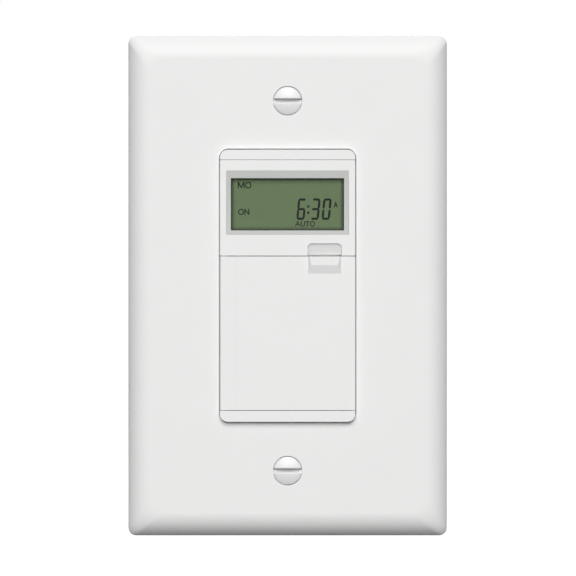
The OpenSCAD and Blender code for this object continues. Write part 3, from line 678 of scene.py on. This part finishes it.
cut(housing, rod("pin hole", (hinge_x, hinge_y, low_strip_z), pin_bore, bore_long, "Z", 24))
soften(housing, 0.1 * mm)
white_plastic = moulded_plastic("white face plastic", white_face, 0.5)
mount_on(housing, white_plastic, "white_plastic", "front_housing")

# Setting keys: eight small caps in holes of the deck, each on a plunger of its own switch.
# They are moulded in off-white plastic with a dished top, and a flange behind the deck
# keeps them in. The small round one is the sunk reset key.
key_white = moulded_plastic("key plastic", (0.72, 0.72, 0.715), 0.4)
key_edge, key_flange_t, dish_edge, dish_drop = 0.28 * mm, 0.8 * mm, 0.35 * mm, 0.12 * mm


def dish(cap, front):
    """Draws a smaller face in the top of a cap, and sinks one inside it a little."""
    pick(cap, "FACE", lambda face: face.calc_center_median().y < front + 0.1 * hair)
    bpy.ops.mesh.inset(thickness=dish_edge, depth=0, use_even_offset=False)
    bpy.ops.mesh.inset(thickness=dish_edge, depth=-dish_drop, use_even_offset=False)
    shut()


for name in key_names:
    low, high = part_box(name + "_key")
    lip = key_lip[name]
    height = high.z - low.z - 2 * lip
    cap_low, cap_high = low + Vector((lip, 0, lip)), high - Vector((lip, 0, lip))
    flange_low = Vector((low.x, high.y - key_flange_t, low.z))
    cap = slab(name + "_cap", cap_low, cap_high, 0.46 * height, 8)
    bevel_edges(cap, lambda a, b: max(a.y, b.y) < cap_low.y + hair, key_edge, 3)
    if name != "reset":
        dish(cap, cap_low.y)
    fuse(cap, slab("flange", flange_low, high, height / 2 + lip - 0.02 * mm, 8))
    soften(cap, 0.06 * mm)
    mount_on(cap, key_white, "key_plastic", name + "_key", body=name)
    dress_nodes(black_plastic, name + "_plunger")

# Display bezel: a grey frame moulded on its own and pressed into the mouth of the cover.
# Its face slopes very slightly towards the display, then drops to the window behind it.
bezel_low, bezel_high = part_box("display_bezel")
window_low, window_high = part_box("display_window")
mouth_low = Vector((-16 * mm, bezel_low.y, 13.35 * mm))
mouth_high = Vector((16 * mm, bezel_high.y, 30.05 * mm))
mouth_round, bezel_rim, bezel_fall = 0.15 * mm, 0.2 * mm, 0.14 * mm
cover_front = 0.8 * mm


def tapered_room(name, low, high, wider, taller, y_wide, y_narrow):
    """A cutter that opens from the visible size at its back to the frame's edge in front."""
    piece = block(name, (low.x, y_wide, low.z), (high.x, y_narrow, high.z))
    for vertex in piece.data.vertices:
        if vertex.co.y < (y_wide + y_narrow) / 2:
            vertex.co.x = wider[0] if vertex.co.x < 0 else wider[1]
            vertex.co.z = taller[0] if vertex.co.z < (low.z + high.z) / 2 else taller[1]
    return piece


bezel = slab("bezel_frame", mouth_low, mouth_high, mouth_round, 3)
fuse(bezel, block("flange", (bezel_low.x, face_y + cover_front, bezel_low.z), bezel_high))
cut(bezel, tapered_room(
    "fall", view_low, view_high, (mouth_low.x + bezel_rim, mouth_high.x - bezel_rim),
    (mouth_low.z + bezel_rim, mouth_high.z - bezel_rim), bezel_low.y - 0.1 * hair,
    bezel_low.y + bezel_fall))
cut(bezel, block("view", (view_low.x, bezel_low.y - mm, view_low.z),
                         (view_high.x, bezel_high.y + mm, view_high.z)))
soften(bezel, 0.06 * mm)
bezel_grey = moulded_plastic("grey bezel plastic", (0.515, 0.53, 0.51), 0.5)
mount_on(bezel, bezel_grey, "grey_plastic", "display_bezel")

# Window: a clear acrylic plate cut to size and laid against the back of the bezel. It is
# almost without colour, and carries only a faint haze.
window = block("window_plate", window_low, window_high)
soften(window, 0.12 * mm)


def clear_acrylic():
    material, shader, at = new_finish("clear acrylic")
    at.fill(shader, {"Base Color": (0.9, 0.92, 0.9, 1), "IOR": 1.49,
                     "Alpha": 0.008 + 0.008 * at.noise(6 * mm, 3),
                     "Roughness": 0.05 + 0.06 * at.noise(4 * mm, 3)})
    return material


mount_on(window, clear_acrylic(), "clear_plastic", "display_window")

# Display cover: the upper half of the face, a white shell clipped into the tower over the
# display. It has a mouth for the bezel, and beside the door's tab a finger pocket whose
# floor curves away towards the door.
tab_x, pocket_half, pocket_high = 9.7 * mm, 4.425 * mm, 3.2 * mm
pocket_step, pocket_fall, pocket_curl, pocket_corner = 0.35 * mm, 0.83 * mm, 0.93 * mm, 1.1 * mm
cover_wall, cover_corner, mouth_gap = 0.9 * mm, 0.3 * mm, 0.01 * mm


def sliced(piece, across, places):
    """Cuts the faces of a piece along planes across one direction, without parting it."""
    only(piece)
    for place in places:
        open_all()
        bpy.ops.mesh.bisect(plane_co=place * across, plane_no=across)
    shut()


cover = slab("upper_cover", cover_low, cover_high, cover_corner, 3)
cut(cover, block(
    "room", (cover_low.x + cover_wall, face_y + cover_front, bezel_low.z - 0.1 * mm),
    (cover_high.x - cover_wall, cover_high.y + mm, cover_high.z - cover_wall)))
wider = Vector((mouth_gap, mm, mouth_gap))
cut(cover, slab("mouth", mouth_low - wider, mouth_high + wider, mouth_round + mouth_gap, 3))
pocket = block("pocket", (tab_x - pocket_half, face_y - mm, cover_low.z - 0.2 * mm),
               (tab_x + pocket_half, face_y + mm, cover_low.z + pocket_high))
bevel_edges(pocket, lambda a, b: runs_deep(a, b) and a.z > cover_low.z, pocket_corner, 6)
sliced(pocket, Vector((0, 0, 1)),
       [cover_low.z + share * pocket_high for share in (0.12, 0.24, 0.36, 0.48, 0.6)])
for vertex in pocket.data.vertices:
    if vertex.co.y > face_y:
        down = 1 - (vertex.co.z - cover_low.z) / pocket_high
        vertex.co.y = face_y + pocket_step + pocket_fall * down + pocket_curl * down ** 2
cut(cover, pocket)
cut(cover, rod("pin hole", (hinge_x, hinge_y, cover_low.z), pin_bore, bore_long, "Z", 24))
soften(cover, 0.1 * mm)
mount_on(cover, white_plastic, "white_plastic", "display_cover")

# Case screws: four long screws with cross-slotted heads. They go in from the rear of the
# case, pass both boards and bite into the bosses of the front housing.
case_head_h, case_shank_r = 1.6 * mm, 1.25 * mm
arm_long, arm_half, arm_deep = 1.5 * mm, 0.35 * mm, 0.9 * mm
case_screw = turned("case screw", [
    (case_head_r - 0.5 * mm, 0), (case_head_r - 0.15 * mm, -0.15 * mm), (case_head_r, -0.5 * mm),
    (case_head_r, -case_head_h), (case_shank_r, -case_head_h),
    (case_shank_r, screw_low.y - screw_high.y)])
for turn in (0, math.pi / 2):
    arm = block("arm", *both_ways(arm_long, (-arm_deep, mm), arm_half))
    arm.data.transform(spun("Y", turn))
    cut(case_screw, arm)
soften(case_screw, 0.06 * mm)
zinc = bright_metal("zinc plate", (0.56, 0.57, 0.58), 0.38)
for number, (x, z) in enumerate(case_holes):
    place = moved(x, screw_high.y, z) @ spun("Y", 0.7 * number)
    screw = copy_of(case_screw, f"case_screw_{number + 1}", place)
    mount_on(screw, zinc, "zinc_steel", "case_screws")
bpy.data.objects.remove(case_screw)

# Door: the lower half of the face, one white moulding that swings out to the left on two
# short pins. The pull tab at its upper right corner has a flat top and a bevelled foot,
# and a faint line runs down beside the hinge.
pin_r, pin_out = 0.5 * mm, 1.1 * mm
door_z = (door_low.z + pin_out, door_high.z - pin_out)
door_back = face_y + 1.8 * mm
tab_low_z, tab_half, tab_out = door_z[1] - 4.6 * mm, 4.35 * mm, 0.66 * mm
tab_side, tab_foot_side, tab_foot = 0.35 * mm, 0.85 * mm, 2.3 * mm
hinge_round, panel_deep, panel_rim = 0.45 * mm, 0.5 * mm, 1.6 * mm


def at_hinge(a, b):
    """True for the two upright edges of the leaf beside the hinge."""
    return max(a.x, b.x) < door_low.x + hair and abs(a.z - b.z) > mm


door = block("door_leaf", (door_low.x, face_y, door_z[0]), (door_high.x, door_back, door_z[1]))
bevel_edges(door, at_hinge, hinge_round, 8)
tab = block("tab", (tab_x - tab_half, face_y - tab_out, tab_low_z),
            (tab_x + tab_half, face_y + 0.02 * mm, door_z[1]))
for vertex in tab.data.vertices:
    if vertex.co.y < face_y:
        low_end = vertex.co.z < door_z[1] - mm
        narrow = tab_foot_side if low_end else tab_side
        vertex.co.x = tab_x + math.copysign(tab_half - narrow, vertex.co.x - tab_x)
        if low_end:
            vertex.co.z = tab_low_z + tab_foot
fuse(door, tab)
line_x, line_half, line_floor, line_deep = hinge_x + 3.4 * mm, 0.42 * mm, 0.08 * mm, 0.11 * mm
line = block("line", (line_x - line_half, face_y - line_deep, door_z[0] - mm),
             (line_x + line_half, face_y + line_deep, door_z[1] + mm))
for vertex in line.data.vertices:
    half = line_floor if vertex.co.y > face_y else 2 * line_half - line_floor
    vertex.co.x = line_x + math.copysign(half, vertex.co.x - line_x)
cut(door, line)
cut(door, block("panel", (line_x, door_back - panel_deep, door_z[0] + panel_rim),
                (door_high.x - panel_rim, door_back + mm, tab_low_z - panel_rim)))
for z in door_z:
    fuse(door, rod("pin", (hinge_x, hinge_y, z), pin_r, 2 * pin_out, "Z", 24))
soften(door, 0.1 * mm, angle=12)
mount_on(door, white_plastic, "white_plastic", "door", body="door")

# Strap: the steel stamping that carries the switch in the wall box. It has a window for
# the housing's tub, slots for the box screws, break-off ears and a tab bent back for the
# ground screw. It is punched from zinc-plated sheet.
strap_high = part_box("mounting_strap")[1]
box_low, box_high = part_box("box_screws")
strap_t = 1.2 * mm
box_head_r = 3.4 * mm
box_z = box_high.z - box_head_r
plate_screw_z = 48.42 * mm
strap_corner, end_corner, tub_gap = 1.5 * mm, 3 * mm, 0.2 * mm
end_x, ear_r, ear_x, ear_hole_x, ear_hole_r = 12 * mm, 5.2 * mm, 14.6 * mm, 16.2 * mm, 1.6 * mm
notch_x, notch_half = 12.2 * mm, (0.4 * mm, 2.6 * mm)
slot_x, slot_z, plate_hole_r = 3.3 * mm, 2.1 * mm, 1.73 * mm
ground = mounts["ground_terminal"]
ground_tab_half, ground_tab_back, ground_tab_round = 4.5 * mm, 10 * mm, 2 * mm
ground_hole_r = 2.08 * mm
through = (-3 * mm, mm)
strap = slab("strap", *both_ways(house_high.x, (-strap_t, 0), house_high.z), strap_corner)
fuse(strap, slab("ends", *both_ways(end_x, (-strap_t, 0), strap_high.z), end_corner))
for sx in (-1, 1):
    for sz in (-1, 1):
        fuse(strap, rod("ear", (sx * ear_x, -strap_t / 2, sz * plate_screw_z), ear_r, strap_t))
fuse(strap, block("ground tab", (end_x - strap_t, -strap_t, ground.z - ground_tab_half),
                  (end_x, ground_tab_back, ground.z + ground_tab_half)))
bevel_edges(strap, lambda a, b: min(a.y, b.y) > ground_tab_back - hair and abs(a.x - b.x) > mm,
            ground_tab_round, 5)
cut(strap, slab("window", *both_ways(tub_x + tub_gap, through, strip_z + tub_gap), strap_corner))
for sz in (-1, 1):
    cut(strap, rod("plate screw hole", (0, 0, sz * plate_screw_z), plate_hole_r, 4 * mm))
    cut(strap, slab("box screw slot", (-slot_x, through[0], sz * box_z - slot_z),
                    (slot_x, through[1], sz * box_z + slot_z), slot_z - 0.02 * mm, 8))
    for sx in (-1, 1):
        cut(strap, rod("ear hole", (sx * ear_hole_x, 0, sz * plate_screw_z), ear_hole_r, 4 * mm))
        for way in (-1, 1):
            x, z = sx * notch_x, sz * plate_screw_z + way * ear_r
            cut(strap, block("notch", (x - notch_half[0], through[0], z - notch_half[1]),
                             (x + notch_half[0], through[1], z + notch_half[1])))
cut(strap, rod("ground hole", (end_x, ground.y, ground.z), ground_hole_r, 4 * mm, "X"))
soften(strap, 0.12 * mm)
mount_on(strap, zinc, "zinc_steel", "mounting_strap")

# Box screws: the two long screws that fix the strap to the wall box. Slotted zinc-plated
# heads, a plain neck in the strap and a full thread behind it. A pressed fibre square on
# each neck keeps the screw from falling out.
box_core, box_neck, box_head_h, box_length = 1.3 * mm, 1.5 * mm, 1.7 * mm, box_high.y - box_low.y
box_slot_half, box_slot_d, neck_end = 0.5 * mm, 0.9 * mm, box_head_h + strap_t + 0.42 * mm
box_screw = turned("box screw", [
    (box_head_r - 0.9 * mm, 0), (box_head_r - 0.35 * mm, 0.15 * mm), (box_head_r, 0.6 * mm),
    (box_head_r, box_head_h), (box_neck, box_head_h), (box_neck, neck_end),
    (box_core, neck_end + 0.18 * mm), (box_core, box_length - 0.5 * mm),
    (box_core - 0.4 * mm, box_length)])
cut(box_screw, block("slot", *both_ways(box_head_r, (-mm, box_slot_d), box_slot_half)))
soften(box_screw, 0.08 * mm)
joined(box_screw, thread(box_core, neck_end + 0.48 * mm, box_length - 0.9 * mm))
retainer_low, retainer_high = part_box("screw_retainers")
retainer = slab("retainer", *both_ways(
    retainer_high.x, (retainer_low.y, retainer_high.y), retainer_high.z - box_z), mm)
cut(retainer, rod("neck hole", (0, 0, 0), box_neck + 0.02 * mm, 4 * mm))
soften(retainer, 0.06 * mm)
fibre = moulded_plastic("pressed fibre", (0.40, 0.27, 0.14), 0.85, 0.25 * mm, 0.05 * mm)
for name, sz in (("upper", 1), ("lower", -1)):
    place = moved(0, box_low.y, sz * box_z) @ spun("Y", 0.3 + sz)
    screw = copy_of(box_screw, name + "_box_screw", place)
    mount_on(screw, zinc, "zinc_steel", "box_screws")
    washer = copy_of(retainer, name + "_retainer", moved(0, 0, sz * box_z))
    mount_on(washer, fibre, "fibre", "screw_retainers")
bpy.data.objects.remove(box_screw)
bpy.data.objects.remove(retainer)

# Ground screw: a hexagonal washer-head screw, dyed green, in the tapped hole of the
# strap's tab.
hex_r, washer_r, hex_h, ground_shank = 3.6 * mm, 4 * mm, 2.8 * mm, 6.5 * mm
ground_core, ground_slot_half, ground_slot_d = 1.75 * mm, 0.5 * mm, 0.9 * mm
ground_screw = turned("ground_wire_screw", [
    (washer_r - 0.15 * mm, 0), (washer_r, 0.2 * mm), (washer_r, 0.6 * mm),
    (washer_r - 0.3 * mm, 0.8 * mm)])
fuse(ground_screw, turned("hexagon", [(hex_r, 0.5 * mm), (hex_r, hex_h - 0.3 * mm),
                                      (hex_r - 0.5 * mm, hex_h)], 6))
cut(ground_screw, block("slot", *both_ways(
    hex_r, (hex_h - ground_slot_d, hex_h + mm), ground_slot_half)))
fuse(ground_screw, rod("core", (0, 0.3 * mm - ground_shank / 2, 0), ground_core,
                       ground_shank - 0.6 * mm))
soften(ground_screw, 0.1 * mm)
joined(ground_screw, thread(ground_core, 0.4 * mm - ground_shank, -0.2 * mm))
turn = spun("Z", -math.pi / 2) @ spun("Y", 0.25)
ground_screw.data.transform(moved(end_x, ground.y, ground.z) @ turn)
green_zinc = bright_metal("green dyed zinc", (0.05, 0.30, 0.12), 0.35)
mount_on(ground_screw, green_zinc, "green_steel", "ground_screw")

# Wall plate: the oversize white cover, moulded as a shell with a broad rolled edge. Ribs
# and two bosses stiffen its back, and two countersunk holes take the plate screws.
plate_low, plate_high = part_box("wall_plate")
plate_wall, plate_corner, front_corner = 2.2 * mm, 2 * mm, 4 * mm
roll, roll_r = 6 * mm, 6.85 * mm


def plate_form(name, inset, rings, back):
    """The plate's outside, or its hollow: a rounded sheet, raised and drawn in along an arc.
    Each corner is drawn in by itself, so that its rounding grows towards the front."""
    half_x, half_z = plate_high.x - inset, plate_high.z - inset
    front = plate_low.y + inset
    bpy.ops.mesh.primitive_plane_add(size=1, location=(0, back, 0), rotation=(math.pi / 2, 0, 0))
    bpy.context.object.scale = (2 * half_x, 2 * half_z, 1)
    piece = named(name)
    open_all()
    bpy.ops.mesh.bevel(offset=plate_corner, segments=8, affect="VERTICES")
    bpy.ops.mesh.select_all(action="SELECT")
    tilt = math.asin(roll / roll_r)
    start = front + roll_r * (1 - math.cos(tilt))
    draw_out((0, start - back, 0))
    drawn, corner, y = 0.0, plate_corner, start
    for step in range(1, rings + 1):
        angle = tilt * (1 - step / rings)
        next_drawn = roll - roll_r * math.sin(angle)
        next_corner = plate_corner + (front_corner - plate_corner) * next_drawn / roll
        next_y = front + roll_r * (1 - math.cos(angle))
        draw_out((0, next_y - y, 0))
        mesh = bmesh.from_edit_mesh(piece.data)
        ring = [v for v in mesh.verts if v.select]
        for vertex in ring:
            sx, sz = math.copysign(1, vertex.co.x), math.copysign(1, vertex.co.z)
            wider = next_corner / corner
            old, new = drawn + corner, next_drawn + next_corner
            vertex.co.x = sx * (half_x - new) + (vertex.co.x - sx * (half_x - old)) * wider
            vertex.co.z = sz * (half_z - new) + (vertex.co.z - sz * (half_z - old)) * wider
        bmesh.update_edit_mesh(piece.data)
        drawn, corner, y = next_drawn, next_corner, next_y
    return outward(piece)


inner_y = plate_low.y + plate_wall
boss_r, boss_h, boss_sink = 4.8 * mm, 1.5 * mm, 0.5 * mm
rib_half, rib_h, rib_sink, rib_step = 0.6 * mm, 1.5 * mm, 0.3 * mm, 30 * mm
head_r, rim_y = 3.66 * mm, plate_low.y + 0.15 * mm
cone_y = rim_y + 0.2 * mm
ring_r, ring_d, hole_r, cone_d = head_r + 0.19 * mm, 0.6 * mm, 2 * mm, 1.9 * mm
seat_r = head_r - (head_r - hole_r) * ring_d / cone_d
plate = plate_form("cover_plate", 0, 14, 0)
cut(plate, plate_form("hollow", plate_wall, 8, 2 * mm))
for sz in (-1, 1):
    boss_y = inner_y + boss_h / 2 - boss_sink
    fuse(plate, rod("boss", (0, boss_y, sz * plate_screw_z), boss_r, boss_h))
for side in (-1, 1):
    for k in (-1, 0, 1):
        ends = (side * (house_high.x + 2 * mm), side * (plate_high.x - plate_wall - roll / 3))
        fuse(plate, block("rib", (min(ends), inner_y - rib_sink, k * rib_step - rib_half),
                          (max(ends), inner_y + rib_h, k * rib_step + rib_half)))
opening_gap, opening_up, opening_corner = 0.16 * mm, 0.08 * mm, 2.3 * mm
opening_x, opening_z = tower_x + opening_gap, tower_z + opening_gap
opening = slab("opening", *both_ways(opening_x, (-20 * mm, 5 * mm), opening_z), opening_corner, 8)
mouth_y, mouth_edge = (plate_low.y - 0.2 * mm, plate_low.y + 0.2 * mm), 0.4 * mm
mouth = slab("mouth", *both_ways(opening_x + mouth_edge, mouth_y, opening_z + mouth_edge),
             opening_corner + mouth_edge, 8)
for vertex in mouth.data.vertices:
    if vertex.co.y > plate_low.y:
        vertex.co.x *= opening_x / (opening_x + mouth_edge)
        vertex.co.z *= opening_z / (opening_z + mouth_edge)
for cutter in (opening, mouth):
    cutter.data.transform(moved(0, 0, opening_up))
    cut(plate, cutter)
bore_profile = [(ring_r, -8 * mm), (ring_r, cone_y + ring_d), (seat_r, cone_y + ring_d),
                (hole_r, cone_y + cone_d), (hole_r, mm)]
for sz in (-1, 1):
    bore = turned("countersink", bore_profile)
    bore.data.transform(moved(0, 0, sz * plate_screw_z))
    cut(plate, bore)
soften(plate, 0.06 * mm)
plate_white = moulded_plastic("white plate plastic", white_face, 0.55)
mount_on(plate, plate_white, "white_plastic", "wall_plate")

# Plate screws: two oval-head screws, enamelled white to match the plate, with a straight
# slot. They run through the countersinks into the tapped holes of the strap.
screw_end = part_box("plate_screws")[1].y
dome, crown, shank_r = 0.72 * mm, 0.2 * mm, 1.45 * mm
dome_r = (head_r ** 2 + dome ** 2) / (2 * dome)


def dome_y(squared):
    """The front of the oval head, at a squared distance from the screw's axis."""
    return rim_y - dome + dome_r - math.sqrt(dome_r ** 2 - squared)


rings = 8
profile = []
for step in range(rings):
    r = crown + (head_r - crown) * step / (rings - 1)
    profile.append((r, dome_y(r ** 2)))
profile += [(head_r, cone_y), (shank_r + 0.25 * mm, cone_y + 2.2 * mm),
            (shank_r, cone_y + 2.6 * mm), (shank_r, screw_end - 0.4 * mm),
            (shank_r - 0.4 * mm, screw_end)]
plate_screw = turned("plate screw", profile, 64)
slot_half, slot_edge, slot_deep = 0.45 * mm, 0.28 * mm, 1.1 * mm
cut(plate_screw, block("slot", *both_ways(2 * head_r, (-20 * mm, rim_y + slot_deep), slot_half)))
slot_mouth = block("slot mouth", *both_ways(head_r, (rim_y - dome, rim_y), slot_half))
sliced(slot_mouth, Vector((1, 0, 0)), [step * head_r / 10 for step in range(-9, 10)])
for vertex in slot_mouth.data.vertices:
    x, y, z = vertex.co
    way = 1 if y > rim_y - dome / 2 else -1
    vertex.co.y = dome_y(x ** 2 + slot_half ** 2) + way * slot_edge
    vertex.co.z = math.copysign(slot_half + (1 - way) * slot_edge, z)
cut(plate_screw, slot_mouth)
soften(plate_screw, 0.05 * mm)
joined(plate_screw, thread(shank_r, cone_y + 3 * mm, screw_end - 0.8 * mm))


def enamel(name, colour):
    """Baked enamel: smooth and a little glossy, with a faint orange-peel."""
    material, shader, at = new_finish(name)
    at.fill(shader, {
        "Base Color": at.noise(2 * mm).blend(tint(colour, 0.98), tint(colour, 1.02)),
        "Roughness": 0.35 + 0.1 * at.noise(1.2 * mm),
        "Normal": at.noise(0.4 * mm).bump(0.004 * mm, 0.5)})
    return material


white_enamel = enamel("white enamel", (0.77, 0.77, 0.77))
for name, sz in (("upper", 1), ("lower", -1)):
    place = moved(0, 0, sz * plate_screw_z)
    screw = copy_of(plate_screw, name + "_plate_screw", place)
    mount_on(screw, white_enamel, "white_enamel", "plate_screws")
bpy.data.objects.remove(plate_screw)

# Studio: a pale floor well below the switch, a broad soft lamp in front and above, two dim
# lamps behind it, and a long lens straight in front of the face. The floor takes the
# switch's shadow near it and goes over into the white surroundings further out.
scene = bpy.context.scene
scene.view_settings.view_transform = "Standard"
floor_z, floor_wide = -0.10, 12
black, white = (0, 0, 0, 1), (1, 1, 1, 1)
bpy.ops.mesh.primitive_plane_add(size=floor_wide, location=(0, 0, floor_z))
floor = named("floor")


def seen_directly(tree):
    """1 for rays from the camera, from gloss and through clear pieces, else 0."""
    blank = Wire(tree, None)
    camera_ray, gloss_ray, clear_ray = [
        blank.node("ShaderNodeLightPath", {}, {}, name)
        for name in ("Is Camera Ray", "Is Glossy Ray", "Is Transmission Ray")]
    return blank.maths("MAXIMUM", blank.maths("MAXIMUM", camera_ray, gloss_ray), clear_ray)


material, shader, at = new_finish("pale floor")
floor_dark, floor_light = (0.115, 0.115, 0.115, 1), (0.125, 0.125, 0.125, 1)
away = at.node("ShaderNodeVectorMath", {"operation": "LENGTH"}, {"Vector": at}, out=1)
pale = at.node("ShaderNodeMapRange", {"interpolation_type": "SMOOTHSTEP"},
               {"Value": away, "From Min": 0.12, "From Max": 0.5, "To Min": 0.86, "To Max": 1.0})
at.fill(shader, {"Base Color": at.noise(0.2, 3).blend(floor_dark, floor_light),
                 "Roughness": 1.0, "Specular IOR Level": 0.0, "Emission Strength": 1.0,
                 "Emission Color": (pale * seen_directly(at.tree)).blend(black, white)})
dress(floor, material)
floor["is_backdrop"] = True

world = bpy.data.worlds.new("studio")
scene.world = world
world.use_nodes = True
ambient = (0.02, 0.02, 0.02, 1)
seen = seen_directly(world.node_tree)
glow = {"Strength": 1.0, "Color": seen.blend(ambient, white)}
seen.fill(world.node_tree.nodes["Background"], glow)


def soft_lamp(name, azimuth, elevation, distance, size, power):
    """A square soft box that looks at the middle of the switch. Azimuth 0 is in front."""
    a, e = math.radians(azimuth), math.radians(elevation)
    place = distance * Vector((math.sin(a) * math.cos(e), -math.cos(a) * math.cos(e), math.sin(e)))
    bpy.ops.object.light_add(type="AREA", location=place)
    lamp = bpy.context.object
    lamp.name = name
    lamp.data.shape = "SQUARE"
    lamp.data.size = size
    lamp.data.energy = power
    lamp.rotation_euler = place.to_track_quat("Z", "Y").to_euler()


soft_lamp("key lamp", 0, 31, 6.0, 4.8, 456)
soft_lamp("left rear lamp", -145, 35, 2.5, 1.6, 24)
soft_lamp("right rear lamp", 145, 35, 2.5, 1.6, 24)

lens, sensor, frame_wide = 400, 36, 0.1508
distance = lens / sensor * frame_wide
camera_x, camera_z = 0.1 * mm, -0.6 * mm
bpy.ops.object.camera_add(location=(camera_x, plate_low.y - distance, camera_z),
                          rotation=(math.pi / 2, 0, 0))
camera = bpy.context.object
camera.data.lens = lens
camera.data.sensor_width = sensor
camera.data.clip_end = 50
scene.camera = camera

low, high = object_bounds()
